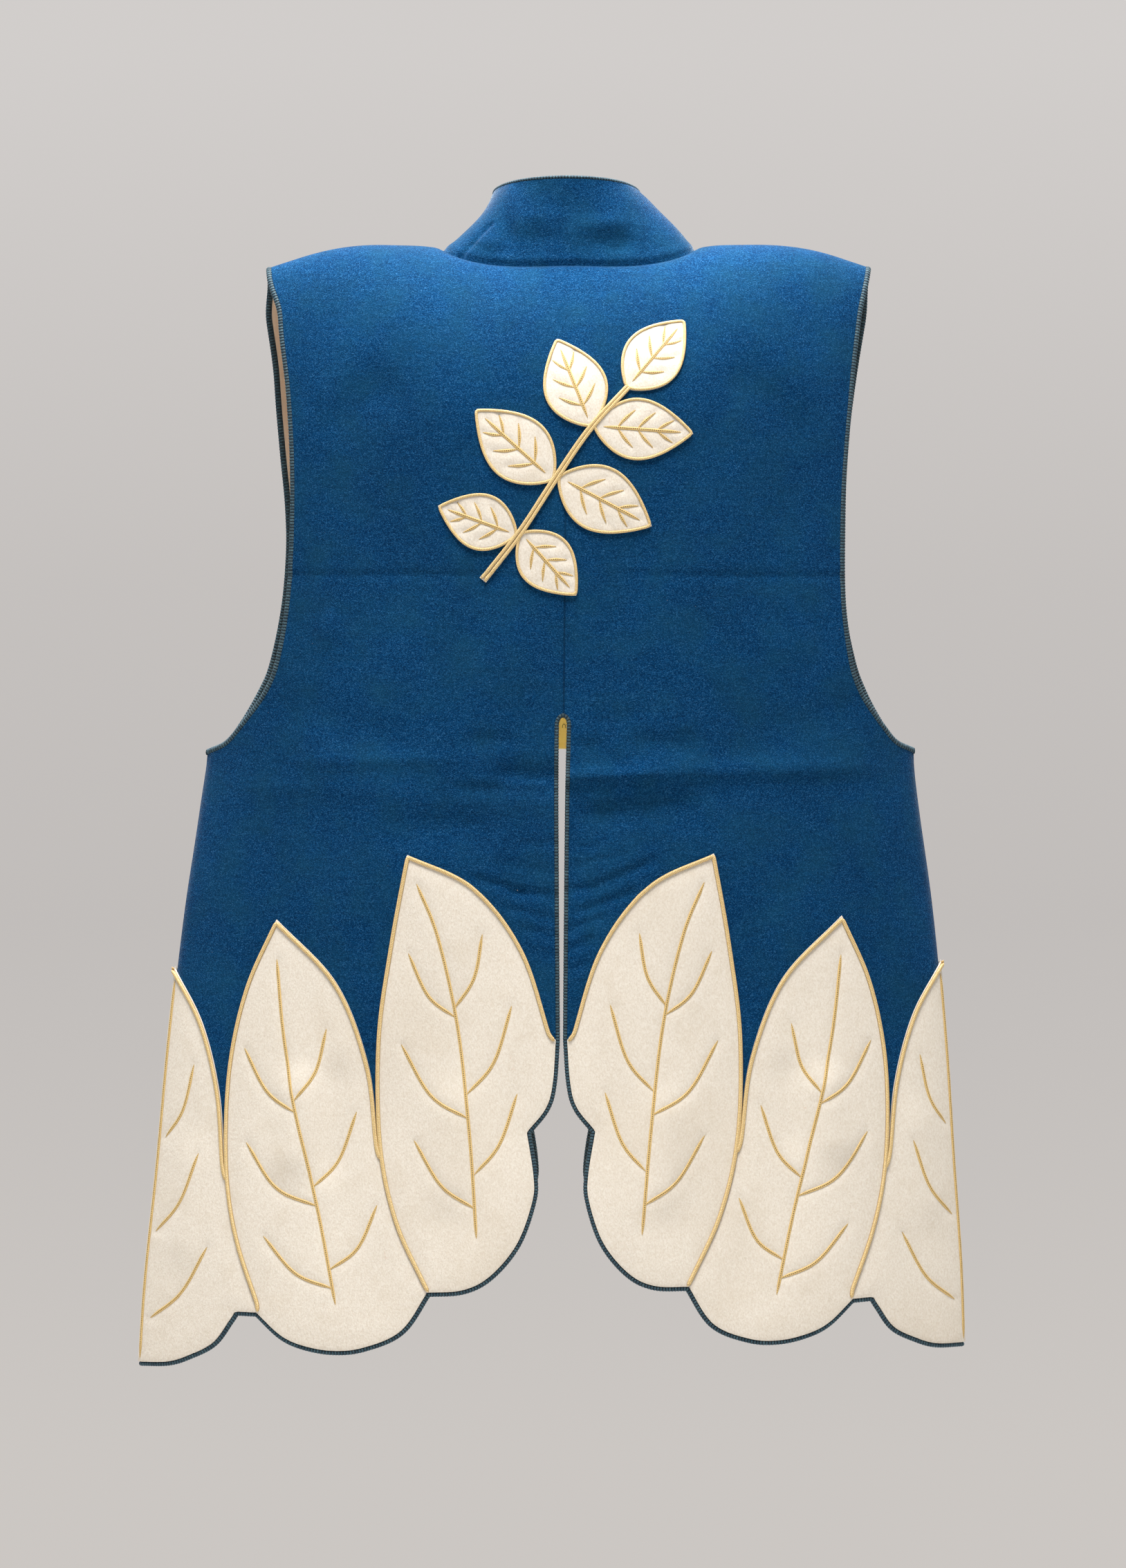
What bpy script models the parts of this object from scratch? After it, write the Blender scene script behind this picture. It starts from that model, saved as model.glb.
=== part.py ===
# Sleeveless wool battle surcoat, filled out as if worn and seen with its back to -Y.
# Metres, +Z up. The origin is where the wearer's neck and shoulders carry it.
# Left is the wearer's left, at -X. Each half is drawn once for +X and mirrored.

import math

import bmesh
import bpy
import numpy as np
from mathutils import Vector
from mathutils.geometry import delaunay_2d_cdt

# Driving dimensions
WOOL_THICK = 0.0020
LINING_THICK = 0.0010
FELT_THICK = 0.0015
CORD_RISE = 0.0014
CORD_WIDE = 0.0036
SEAM_GAP = 0.0003
EDGING_RADIUS = 0.0024
EDGING_REACH = SEAM_GAP + EDGING_RADIUS
COLLAR_EDGING_REACH = 0.0028
EDGING_DEPTH = -0.0012
EDGING_END_X = 0.0008
COLLAR_THICK = 0.0024
COLLAR_SEAT = 0.0006
COLLAR_TOP_HALF_WIDTH = 0.0580
COLLAR_TOP_HALF_DEPTH = 0.052
COLLAR_TOP_MIDDLE_Y = 0.020
COLLAR_SIDE_Z = 0.0465
COLLAR_BACK_RISE = 0.0120
COLLAR_FRONT_DROP = 0.0415
COLLAR_BASE_HALF_DEPTH = 0.058
COLLAR_BASE_MIDDLE_Y = 0.012
COLLAR_TOP_SHIFT = 0.0014
COLLAR_BULGE_RIGHT = 0.0022
COLLAR_BULGE_LEFT = -0.0060
SHOULDER_DROP = 0.140
NECK_HALF_WIDTH = 0.0950
NECK_BACK_Z = -0.004
NECK_FRONT_Z = -0.055
NECK_POWER = 2.6
ARMPIT_Z = -0.3755
SLIT_TOP_Z = -0.3425
SLIT_EDGE_X = 0.0078
SLIT_ARCH = 0.010
FRONT_EDGE_X = 0.0100
FRONT_HEM_RISE = 0.008
FLARE_TOP_Z = -0.010
FLARE_TOP_FADE = 0.035
FLARE_END_FADE = 0.050
NECK_STEP = 0.004
EDGE_ROOM = 0.011
SIDE_EDGE_ROOM = 0.003
SIDE_ROOM_SHARE = 0.25
SIDE_TIP_ROOM = 0.010
FELT_REACH = 0.08
SIDE_CORNER = 0.99985
NEAR_SIDE = 0.9995
NORMAL_STEP = 0.0004
MITRE_LIMIT = 0.35
FOLD_POWER = 0.8
WAVE_HEIGHT = 0.004
WAVE_LENGTH = 0.170
WAVE_CREST_X = 0.045
WAVE_START_Z = -0.46
WAVE_FADE = 0.30

# Where the rows of a panel's facets lie, as shares of the shoulder's curve and lengths below it,
# and where its columns lie, as shares of the half width
SHOULDER_ROWS = np.array([0.20, 0.42, 0.68])
HANGING_ROWS = np.array([0.00, 0.09, 0.18, 0.27, 0.36, 0.45, 0.54, 0.63])
CHORD_MISS = 0.0005
COLUMNS = np.array([0.17, 0.38, 0.59, 0.78, 0.91, 0.98])

# Ridge of the shoulders seen from behind, columns x, z
CREST = [(0.000, 0.0090), (0.096, 0.0090), (0.111, 0.0112), (0.131, 0.0122), (0.146, 0.0122),
         (0.171, 0.0098), (0.197, 0.0045), (0.217, -0.0018), (0.242, -0.0105)]

# How the garment hangs a little to one side, columns z, x moved, rise to each metre of x,
# x moved to each metre from the middle
LEAN = [(0.060, 0.0022, 0.001, 0.0000), (0.009, 0.0030, 0.001, 0.0000), (-0.030, 0.0019, 0.001, 0.0000),
        (-0.150, 0.0006, 0.000, 0.0000), (-0.260, 0.0000, 0.000, 0.0000),
        (-0.330, -0.0012, 0.001, -0.0020), (-0.400, -0.0024, 0.003, -0.0066),
        (-0.450, -0.0026, 0.005, -0.0072), (-0.520, -0.0027, 0.008, -0.0090),
        (-0.580, -0.0027, 0.012, -0.0115), (-0.650, -0.0026, 0.017, -0.0148),
        (-0.750, -0.0034, 0.022, -0.0178), (-0.840, -0.0042, 0.024, -0.0195)]

# Half width where the sides fold, columns z, x
SIDE = [(0.0200, 0.2700), (-0.2500, 0.2680), (-0.3755, 0.2688), (-0.4210, 0.2747), (-0.4840, 0.2839),
        (-0.5880, 0.2950), (-0.6920, 0.3033), (-0.7700, 0.3101), (-0.8400, 0.3135)]

# How far the middle of the back and of the front stand from the shoulder ridge, columns z, back, front
DEPTH = [(0.020, 0.094, 0.098), (-0.140, 0.095, 0.104), (-0.400, 0.087, 0.098),
         (-0.620, 0.083, 0.094), (-0.840, 0.092, 0.100)]

# Edge of the armhole on the back, columns x, z
ARMHOLE = [(0.2245, -0.0045), (0.2200, -0.042), (0.2140, -0.094), (0.2085, -0.172), (0.2090, -0.250),
           (0.2155, -0.302), (0.2245, -0.328), (0.2410, -0.354), (0.2530, -0.3685), (0.2685, -0.3755)]

# How far each armhole stands out from that line, between the shoulder and the armpit
ARMHOLE_SHIFT = {"front_left": 0.0034, "front_right": 0.0020, "back_left": -0.0068, "back_right": -0.0012}

# Scalloped hem from the side seam to the slit, one smooth run a lobe, columns x, z
OUTER_LOBE = [(0.3120, -0.8265), (0.2911, -0.8262), (0.2757, -0.8215), (0.2583, -0.8125),
              (0.2469, -0.7970), (0.2414, -0.7885)]
NOTCH_TOP = [(0.2414, -0.7885), (0.2239, -0.7895)]
MIDDLE_LOBE = [(0.2239, -0.7895), (0.2053, -0.8070), (0.1884, -0.8150), (0.1671, -0.8190),
               (0.1453, -0.8170), (0.1185, -0.8052), (0.0992, -0.7765)]
INNER_LOBE = [(0.0992, -0.7765), (0.0724, -0.7750), (0.0528, -0.7650), (0.0338, -0.7420),
              (0.0230, -0.7110), (0.0223, -0.6920), (0.0275, -0.6585)]
UPPER_LOBE = [(0.0275, -0.6585), (0.0132, -0.6405), (0.0082, -0.6220), (0.0059, -0.5900)]

# Sides of the leaves, each from its foot at a notch to its tip, columns x, z
INNER_LEAF_OUTSIDE = [(0.0992, -0.7765), (0.1230, -0.7250), (0.1360, -0.6650), (0.1372, -0.5900),
                      (0.1285, -0.5200), (0.1159, -0.4500)]
INNER_LEAF_INSIDE = [(0.1159, -0.4500), (0.0659, -0.4740), (0.0289, -0.5220), (0.0068, -0.5900)]
MIDDLE_LEAF_INSIDE = [(0.1362, -0.6650), (0.1441, -0.6050), (0.1683, -0.5450), (0.2134, -0.4980)]
MIDDLE_LEAF_OUTSIDE = [(0.2239, -0.7895), (0.2419, -0.7350), (0.2501, -0.6800), (0.2485, -0.6100),
                       (0.2359, -0.5500), (0.2134, -0.4980)]
OUTER_LEAF_INSIDE = [(0.2503, -0.6800), (0.2553, -0.6250), (0.2685, -0.5750), (0.2898, -0.5350)]

# Points drawn on each step of a leaf's side, and the steps it shares with the next leaf
LEAF_STEPS = 3
LEAF_SHARED_STEPS = 2

# Spray on the upper back. The stem has columns x, z, and its leaves have foot x, foot z,
# turn in degrees, length and width
STEM = [(-0.062, -0.244), (-0.034, -0.208), (-0.008, -0.168), (0.018, -0.130), (0.047, -0.098)]
STEM_WIDE = 0.006
SPRAY_LEAVES = [(0.045, -0.100, 50.0, 0.068, 0.045), (0.019, -0.129, 112.0, 0.072, 0.048),
                (0.020, -0.128, -4.0, 0.076, 0.047), (-0.009, -0.169, 138.0, 0.080, 0.050),
                (-0.006, -0.166, -28.0, 0.080, 0.050), (-0.036, -0.210, 160.0, 0.064, 0.043),
                (-0.034, -0.208, -48.0, 0.064, 0.043)]

STEM_TIP_SHARE = 0.7
LEAF_SWELL = 0.85
LEAF_FULLNESS = 0.9

# Strip behind the front opening
FLAP_HALF_WIDTH = 0.017
FLAP_TOP_Z = -0.080
FLAP_END_Z = -0.3705
FLAP_DEPTH = -0.0041

COLOURS = {"wool": (0.008, 0.060, 0.155), "lining": (0.400, 0.290, 0.095),
           "felt": (0.800, 0.710, 0.570), "edging": (0.022, 0.052, 0.090)}
ROUGHNESS = {"wool": 0.92, "lining": 0.55, "felt": 0.95, "edging": 0.80}


def smooth_table(table, column, at):
    """Read one column of a table at the places given, on soft curves between its rows."""
    rows = sorted(table)
    keys = np.array([row[0] for row in rows])
    values = np.array([row[column] for row in rows])
    slopes = np.gradient(values, keys)
    at = np.clip(at, keys[0], keys[-1])
    low = np.clip(np.searchsorted(keys, at, side="right") - 1, 0, len(keys) - 2)
    span = keys[low + 1] - keys[low]
    part = (at - keys[low]) / span
    return ((2 * part ** 3 - 3 * part ** 2 + 1) * values[low]
            + (part ** 3 - 2 * part ** 2 + part) * span * slopes[low]
            + (3 * part ** 2 - 2 * part ** 3) * values[low + 1]
            + (part ** 3 - part ** 2) * span * slopes[low + 1])


def soft_step(value):
    part = np.clip(value, 0.0, 1.0)
    return part * part * (3 - 2 * part)


# The cloth is drawn flat in x and t, where t is the way down from the shoulder ridge.
SHOULDER_PATH = 0.5 * math.pi * math.sqrt((SHOULDER_DROP ** 2 + DEPTH[0][1] ** 2) / 2)


def flat(points):
    """Turn x, z points of the garment as seen from behind into x, t points of the flat drawing."""
    points = np.array(points, dtype=float)
    drop = smooth_table(CREST, 1, points[:, 0]) - points[:, 1]
    turn = np.arccos(np.clip(1 - drop / SHOULDER_DROP, 0.0, 1.0))
    curved = SHOULDER_PATH * turn / (0.5 * math.pi)
    path = np.where(drop < SHOULDER_DROP, curved, SHOULDER_PATH + drop - SHOULDER_DROP)
    return np.stack([points[:, 0], path], axis=1)


def on_body(drawing, face):
    """Places on the outer side of the cloth. The shoulder is a quarter ellipse and the side a soft fold."""
    x = drawing[:, 0]
    path = drawing[:, 1]
    turn = 0.5 * math.pi * np.clip(path / SHOULDER_PATH, 0.0, 1.0)
    drop = SHOULDER_DROP * (1 - np.cos(turn)) + np.clip(path - SHOULDER_PATH, 0.0, None)
    z = smooth_table(CREST, 1, np.abs(x)) - drop
    across = np.clip(np.abs(x) / smooth_table(SIDE, 1, z), 0.0, SIDE_CORNER)
    depth = smooth_table(DEPTH, 1 if face == "back" else 2, z)
    hang = soft_step((WAVE_START_Z - z) / WAVE_FADE)
    depth = depth + WAVE_HEIGHT * hang * np.cos(2 * math.pi * (np.abs(x) - WAVE_CREST_X) / WAVE_LENGTH)
    y = depth * (1 - across ** 2) ** FOLD_POWER * np.sin(turn)
    return np.stack([x, -y if face == "back" else y, z], axis=1)


def outward(drawing, face):
    """Unit normals of the cloth, level and sideways on the side seam so that the two walls meet square."""
    step = NORMAL_STEP
    places = on_body(drawing, face)
    right = places - on_body(drawing - [step, 0.0], face)
    low = np.maximum(drawing[:, 1] - step, 0.0)
    below = on_body(np.stack([drawing[:, 0], low + 2 * step], axis=1), face)
    above = on_body(np.stack([drawing[:, 0], low], axis=1), face)
    normal = np.cross(right, below - above)
    seam = np.abs(drawing[:, 0]) > smooth_table(SIDE, 1, places[:, 2]) * NEAR_SIDE
    ridge = drawing[:, 1] < 0.001
    normal[seam] = [1.0, 0.0, 0.0]
    normal[ridge, 1] = 0.0
    away = places.copy()
    away[:, 2] = np.where(drawing[:, 1] < SHOULDER_PATH, places[:, 2] + SHOULDER_DROP, 0.0)
    flip = np.sum(normal * away, axis=1) < 0
    normal[flip] *= -1
    return normal / np.linalg.norm(normal, axis=1, keepdims=True)


def settle(points, side):
    """Mirror a half to its side, then let it lean a little to one side, as the real one hangs."""
    points = points.copy()
    points[:, 0] *= side
    moved, rise, spread = [smooth_table(LEAN, column, points[:, 2]) for column in (1, 2, 3)]
    points[:, 2] += points[:, 0] * rise
    points[:, 0] += moved + np.abs(points[:, 0]) * spread
    return points


def curve_through(points, steps=10):
    """A soft curve through the points, with the ends kept."""
    points = np.array(points, dtype=float)
    padded = np.vstack([2 * points[0] - points[1], points, 2 * points[-1] - points[-2]])
    part = np.linspace(0.0, 1.0, steps, endpoint=False)[:, None]
    runs = []
    for before, start, end, after in zip(padded, padded[1:], padded[2:], padded[3:]):
        runs.append(0.5 * (2 * start + (end - before) * part
                           + (2 * before - 5 * start + 4 * end - after) * part ** 2
                           + (3 * start - before - 3 * end + after) * part ** 3))
    return np.vstack(runs + [points[-1:]])


def thinned(drawing, face, miss, longest=0.085):
    """Drop the points of a run that a straight chord on the finished form would hardly miss."""
    places = on_body(drawing, face)
    along = places[-1] - places[0]
    length = np.linalg.norm(along)
    if len(places) < 3:
        return drawing
    share = np.clip((places - places[0]) @ along / max(length, 1e-9) ** 2, 0.0, 1.0)
    away = np.linalg.norm(places - places[0] - share[:, None] * along, axis=1)
    worst = int(np.argmax(away)) if away.max() > miss else len(places) // 2
    if away.max() <= miss and length <= longest:
        return drawing[[0, -1]]
    first = thinned(drawing[:worst + 1], face, miss, longest)
    return np.vstack([first[:-1], thinned(drawing[worst:], face, miss, longest)])


def offset_line(points, distance, closed):
    """Move a line of flat points sideways, to its left for a positive distance, with mitred corners."""
    ahead = np.roll(points, -1, axis=0) - points
    back = points - np.roll(points, 1, axis=0)
    if not closed:
        ahead[-1] = back[-1]
        back[0] = ahead[0]
    ahead /= np.linalg.norm(ahead, axis=1, keepdims=True)
    back /= np.linalg.norm(back, axis=1, keepdims=True)
    left_ahead = np.stack([-ahead[:, 1], ahead[:, 0]], axis=1)
    left_back = np.stack([-back[:, 1], back[:, 0]], axis=1)
    mitre = left_ahead + left_back
    mitre /= np.maximum(np.sum(mitre * left_ahead, axis=1, keepdims=True), MITRE_LIMIT)
    return points + distance * mitre


def inside(points, polygon):
    """Whether each flat point lies within the polygon, by counting its edges to the right."""
    x = points[:, 0][:, None]
    y = points[:, 1][:, None]
    ax, ay = polygon[:, 0], polygon[:, 1]
    bx, by = np.roll(ax, -1), np.roll(ay, -1)
    spans = (ay > y) != (by > y)
    crossing = ax + (y - ay) * (bx - ax) / np.where(by == ay, 1e-12, by - ay)
    return np.count_nonzero(spans & (x < crossing), axis=1) % 2 == 1


def distance_to(points, polygon):
    """Distance from each flat point to the polygon's outline."""
    start = polygon[None]
    along = np.roll(polygon, -1, axis=0)[None] - start
    apart = points[:, None] - start
    share = np.clip(np.sum(apart * along, axis=2) / np.maximum(np.sum(along ** 2, axis=2), 1e-12), 0, 1)
    return np.linalg.norm(apart - share[..., None] * along, axis=2).min(axis=1)


def triangulate(loops, extra_points, extra_edges, shapes):
    """Triangles of the flat drawing that lie in any of the shapes. Every line given stays an edge."""
    points = []
    edges = []
    for loop in loops:
        first = len(points)
        points += [Vector(point) for point in loop]
        edges += [(first + i, first + (i + 1) % len(loop)) for i in range(len(loop))]
    first = len(points)
    points += [Vector(point) for point in extra_points]
    edges += [(first + a, first + b) for a, b in extra_edges]
    out = delaunay_2d_cdt(points, edges, [], 0, 1e-6, False)
    verts = np.array([tuple(vert) for vert in out[0]])
    faces = np.array(out[2])
    middles = verts[faces].mean(axis=1)
    kept = np.zeros(len(faces), dtype=bool)
    for shape in shapes:
        kept |= inside(middles, shape)
    faces = faces[kept]
    used, renumbered = np.unique(faces, return_inverse=True)
    return verts[used], renumbered.reshape(-1, 3)


def rim_edges(faces):
    """The edges that only one triangle has, turned as that triangle turns."""
    edges = np.vstack([faces[:, [0, 1]], faces[:, [1, 2]], faces[:, [2, 0]]])
    known = {tuple(edge) for edge in edges}
    return [edge for edge in known if (edge[1], edge[0]) not in known]


def material(name):
    found = bpy.data.materials.get(name)
    if found:
        return found
    made = bpy.data.materials.new(name)
    made.use_nodes = True
    shader = made.node_tree.nodes["Principled BSDF"]
    shader.inputs["Base Color"].default_value = (*COLOURS[name], 1.0)
    shader.inputs["Roughness"].default_value = ROUGHNESS[name]
    shader.inputs["Metallic"].default_value = 0.0
    return made


def add_solid(name, points, faces, finish):
    """One closed body from its points and faces, turned so that every face looks out."""
    shape = bmesh.new()
    verts = [shape.verts.new(point) for point in points]
    for face in faces:
        shape.faces.new([verts[int(i)] for i in face])
    bmesh.ops.recalc_face_normals(shape, faces=shape.faces)
    mesh = bpy.data.meshes.new(name)
    shape.to_mesh(mesh)
    shape.free()
    mesh.materials.append(material(finish))
    made = bpy.data.objects.new(name, mesh)
    parts.objects.link(made)
    return made


def add_wall(name, outer, inner, faces, finish):
    """A wall between two skins that share one set of triangles, closed round its rim.

    It is built face by face, because a layer must follow the facets of the one under it exactly.
    """
    count = len(outer)
    skins = [tuple(face) for face in faces] + [tuple(face[::-1] + count) for face in faces]
    rim = [(b, a, a + count, b + count) for a, b in rim_edges(faces)]
    return add_solid(name, np.vstack([outer, inner]), skins + rim, finish)


def add_sheet(name, outer, inner, finish):
    """A wall between two grids of rows and columns."""
    rows, columns = outer.shape[:2]
    index = np.arange(rows * columns).reshape(rows, columns)
    a, b, c, d = index[:-1, :-1], index[:-1, 1:], index[1:, 1:], index[1:, :-1]
    faces = np.vstack([np.stack([a, b, c], axis=-1).reshape(-1, 3),
                       np.stack([a, c, d], axis=-1).reshape(-1, 3)])
    return add_wall(name, outer.reshape(-1, 3), inner.reshape(-1, 3), faces, finish)


def add_edging(name, route, closed):
    """A round corded edging along a route, as a bevelled curve with filled caps."""
    curve = bpy.data.curves.new(name, "CURVE")
    curve.dimensions = "3D"
    curve.bevel_depth = EDGING_RADIUS
    curve.bevel_resolution = 1
    curve.use_fill_caps = True
    spline = curve.splines.new("POLY")
    spline.points.add(len(route) - 1)
    for point, place in zip(spline.points, route):
        point.co = (*place, 1.0)
    spline.use_cyclic_u = closed
    curve.materials.append(material("edging"))
    made = bpy.data.objects.new(name, curve)
    parts.objects.link(made)
    return made


class Panel:
    """A quarter of the body: its edge as named runs in the flat drawing, and its triangles."""

    def __init__(self, face, side):
        self.face = face
        self.side = side
        self.name = face + ("_left" if side < 0 else "_right")
        self.runs = self.draw_runs()
        self.outline = np.vstack([run[:-1] for run in self.runs.values()])
        self.points, self.faces = triangulate([self.outline], self.inner_points(), [], [self.outline])
        self.outer = on_body(self.points, face)
        self.normals = outward(self.points, face)

    def flare(self, points):
        """The front stands a little further out than the back along the armhole."""
        points = points.copy()
        rise = (soft_step((FLARE_TOP_Z - points[:, 1]) / FLARE_TOP_FADE)
                * soft_step((points[:, 1] - ARMPIT_Z) / FLARE_END_FADE))
        points[:, 0] += ARMHOLE_SHIFT[self.name] * rise
        return points

    def lift_hem(self, points):
        """The front hem hangs a little shorter than the back, but for the corner that they share."""
        points = np.array(points, dtype=float)
        if self.face == "front":
            points[:, 1] += FRONT_HEM_RISE * (1 - (points[:, 0] / OUTER_LOBE[0][0]) ** 4)
            points[:, 0] = np.maximum(points[:, 0], FRONT_EDGE_X)
        return points

    def draw_runs(self):
        """Neck, shoulder, armhole, side, hem lobes and middle edge, one after another round the panel."""
        neck_z = NECK_BACK_Z if self.face == "back" else NECK_FRONT_Z
        neck_x = 0.5 * SEAM_GAP if self.face == "back" else FRONT_EDGE_X
        depth = flat([(0.0, neck_z)])[0, 1]
        turn = np.linspace(0.0, 0.5 * math.pi, 40)
        neck = np.stack([NECK_HALF_WIDTH * np.sin(turn) ** (2 / NECK_POWER),
                         depth * np.cos(turn) ** (2 / NECK_POWER)], axis=1)
        neck = np.vstack([[neck_x, depth], neck[neck[:, 0] > neck_x + NECK_STEP]])
        neck[-1, 1] = 0.5 * SEAM_GAP
        armhole = flat(self.flare(curve_through(ARMHOLE)))
        armhole[0, 1] = 0.5 * SEAM_GAP
        side_z = np.linspace(ARMPIT_Z, OUTER_LOBE[0][1], 40)
        side = flat(np.stack([smooth_table(SIDE, 1, side_z) * SIDE_CORNER, side_z], axis=1))
        armhole[-1] = side[0]
        lobes = {name: flat(self.lift_hem(curve_through(points, 14))) for name, points in (
            ("outer_lobe", OUTER_LOBE), ("notch_top", NOTCH_TOP), ("middle_lobe", MIDDLE_LOBE),
            ("inner_lobe", INNER_LOBE), ("upper_lobe", UPPER_LOBE))}
        lobes["outer_lobe"][0] = side[-1]
        shoulder = np.linspace(neck[-1], armhole[0], 15)
        runs = {"neck": neck, "shoulder": shoulder, "armhole": armhole,
                "side": side, **lobes, "middle": self.draw_middle(lobes["upper_lobe"][-1], neck[0])}
        return {name: thinned(run, self.face, CHORD_MISS * (0.3 if name == "middle" else 1.0))
                for name, run in runs.items()}

    def draw_middle(self, start, end):
        """The slit with its round top and the seam above it, or the straight edge of a front."""
        if self.face == "front":
            return np.linspace(start, end, 13)
        turn = np.linspace(0.0, 0.5 * math.pi, 6)
        arch = np.stack([0.5 * SEAM_GAP + (SLIT_EDGE_X - 0.5 * SEAM_GAP) * np.cos(turn),
                         SLIT_TOP_Z - SLIT_ARCH + SLIT_ARCH * np.sin(turn)], axis=1)
        arch = flat(arch)
        seam = np.linspace(arch[-1], end, 8)
        slit = np.linspace(start, arch[0], 5)
        return np.vstack([slit[:-1], arch[:-1], seam])

    def inner_points(self):
        """Points over the panel in rows, closest where the cloth turns most."""
        rows = np.concatenate([SHOULDER_PATH * SHOULDER_ROWS, SHOULDER_PATH + HANGING_ROWS])
        widths = smooth_table(SIDE, 1, SHOULDER_PATH - SHOULDER_DROP - rows)
        grid = np.array([(share * width, path) for path, width in zip(rows, widths) for share in COLUMNS])
        room = np.minimum(EDGE_ROOM, SIDE_ROOM_SHARE * (SIDE[2][1] - grid[:, 0]) + SIDE_EDGE_ROOM)
        kept = inside(grid, self.outline) & (distance_to(grid, self.outline) > room)
        return grid[kept]

    def lift(self, drawing, height):
        """Places over the panel's own triangles, so that what lies on it follows each facet."""
        corner = self.points[self.faces]
        a, b, c = corner[:, 0], corner[:, 1], corner[:, 2]
        whole = (b[:, 0] - a[:, 0]) * (c[:, 1] - a[:, 1]) - (b[:, 1] - a[:, 1]) * (c[:, 0] - a[:, 0])
        x = drawing[:, 0][:, None]
        y = drawing[:, 1][:, None]
        share_b = ((x - a[:, 0]) * (c[:, 1] - a[:, 1]) - (y - a[:, 1]) * (c[:, 0] - a[:, 0])) / whole
        share_c = ((b[:, 0] - a[:, 0]) * (y - a[:, 1]) - (b[:, 1] - a[:, 1]) * (x - a[:, 0])) / whole
        shares = np.stack([1 - share_b - share_c, share_b, share_c], axis=2)
        best = np.argmax(shares.min(axis=2), axis=1)
        chosen = np.clip(shares[np.arange(len(drawing)), best], 0.0, 1.0)
        chosen /= chosen.sum(axis=1, keepdims=True)
        height = np.broadcast_to(height, len(drawing))[:, None, None]
        skins = self.outer[self.faces[best]] + height * self.normals[self.faces[best]]
        return np.sum(chosen[:, :, None] * skins, axis=1)

    def wall(self, name, top, thick, finish):
        """One layer of the panel, from its upper face down by its thickness."""
        outer = settle(self.outer + top * self.normals, self.side)
        inner = settle(self.outer + (top - thick) * self.normals, self.side)
        return add_wall(name, outer, inner, self.faces, finish)

    def edge_route(self, names, reach):
        """The line of an edging just outside the named runs, half sunk beside the cloth."""
        run = np.vstack([self.runs[name][:-1] for name in names] + [self.runs[names[-1]][-1:]])
        moved = offset_line(run, reach, False)
        across = on_body(run + (moved - run) * 0.02, self.face) - on_body(run, self.face)
        size = np.linalg.norm(moved - run, axis=1, keepdims=True)
        across /= np.maximum(np.linalg.norm(across, axis=1, keepdims=True), 1e-12)
        normals = outward(run, self.face)
        return run, on_body(run, self.face) + across * size + EDGING_DEPTH * normals


def add_plate(name, panels, shapes, finish):
    """Felt laid on one or two panels, with a raised cord round every shape in it."""
    rims = [offset_line(shape, CORD_WIDE, True) for shape in shapes]
    box_low = np.vstack(shapes).min(axis=0) - FELT_REACH
    box_high = np.vstack(shapes).max(axis=0) + FELT_REACH
    points = []
    edges = []
    for panel in panels:
        mirror = np.array([panel.side if len(panels) > 1 else 1.0, 1.0])
        corners = panel.points * mirror
        near = np.all((corners > box_low) & (corners < box_high), axis=1)
        first = len(points)
        points += list(corners)
        for face in panel.faces:
            for a, b in ((face[0], face[1]), (face[1], face[2]), (face[2], face[0])):
                if a < b and (near[a] or near[b]):
                    edges.append((first + a, first + b))
    used = sorted({i for edge in edges for i in edge})
    place = {old: new for new, old in enumerate(used)}
    kept_points = [points[i] for i in used]
    kept_edges = [(place[a], place[b]) for a, b in edges]
    drawing, faces = triangulate(shapes + rims, kept_points, kept_edges, shapes)
    apart = np.min([distance_to(drawing, shape) for shape in shapes], axis=0)
    rise = FELT_THICK + CORD_RISE * np.clip(1 - apart / CORD_WIDE, 0.0, 1.0)
    skins = []
    for height in (SEAM_GAP + rise, np.full(len(drawing), SEAM_GAP)):
        if len(panels) == 1:
            skins.append(settle(panels[0].lift(drawing, height), panels[0].side))
            continue
        both = np.zeros((len(drawing), 3))
        for panel in panels:
            mine = drawing[:, 0] * panel.side >= 0
            half = np.stack([np.abs(drawing[mine, 0]), drawing[mine, 1]], axis=1)
            both[mine] = settle(panel.lift(half, height[mine]), panel.side)
        middle = np.abs(drawing[:, 0]) < 1e-6
        both[middle, 0] = 0.0
        skins.append(both)
    return add_wall(name, skins[0], skins[1], faces, finish)


def leaf_shapes(panel):
    """Three broad leaves on a panel that stand on the lobes of its hem and lap over each other."""
    hem = panel.runs
    lap = np.array([SEAM_GAP + 0.0001, 0.0])
    sides = [INNER_LEAF_OUTSIDE, INNER_LEAF_INSIDE, MIDDLE_LEAF_OUTSIDE, MIDDLE_LEAF_INSIDE,
             OUTER_LEAF_INSIDE]
    inner_side, inner_back, middle_side, middle_back, outer_back = [
        flat(panel.lift_hem(curve_through(side, LEAF_STEPS))) for side in sides]
    shared = LEAF_SHARED_STEPS * LEAF_STEPS + 1
    side_run = hem["side"]
    below_tip = side_run[side_run[:, 1] > outer_back[-1, 1] + SIDE_TIP_ROOM]
    side_top = np.array([side_run[0, 0], outer_back[-1, 1]])
    side_top[0] = np.interp(outer_back[-1, 1], side_run[:, 1], side_run[:, 0])
    inner = np.vstack([hem["inner_lobe"], hem["upper_lobe"][1:-1], inner_back[::-1],
                       inner_side[::-1][1:-1]])
    middle = np.vstack([hem["middle_lobe"][:-1], hem["middle_lobe"][-1:] + lap,
                        inner_side[1:shared] + lap, middle_back[1:], middle_side[::-1][1:-1]])
    outer = np.vstack([below_tip, hem["outer_lobe"][1:], hem["notch_top"][1:-1],
                       hem["notch_top"][-1:] + lap, middle_side[1:shared] + lap,
                       outer_back[1:-1], side_top[None]])
    return {"inner": inner, "middle": middle, "outer": outer}


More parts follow.
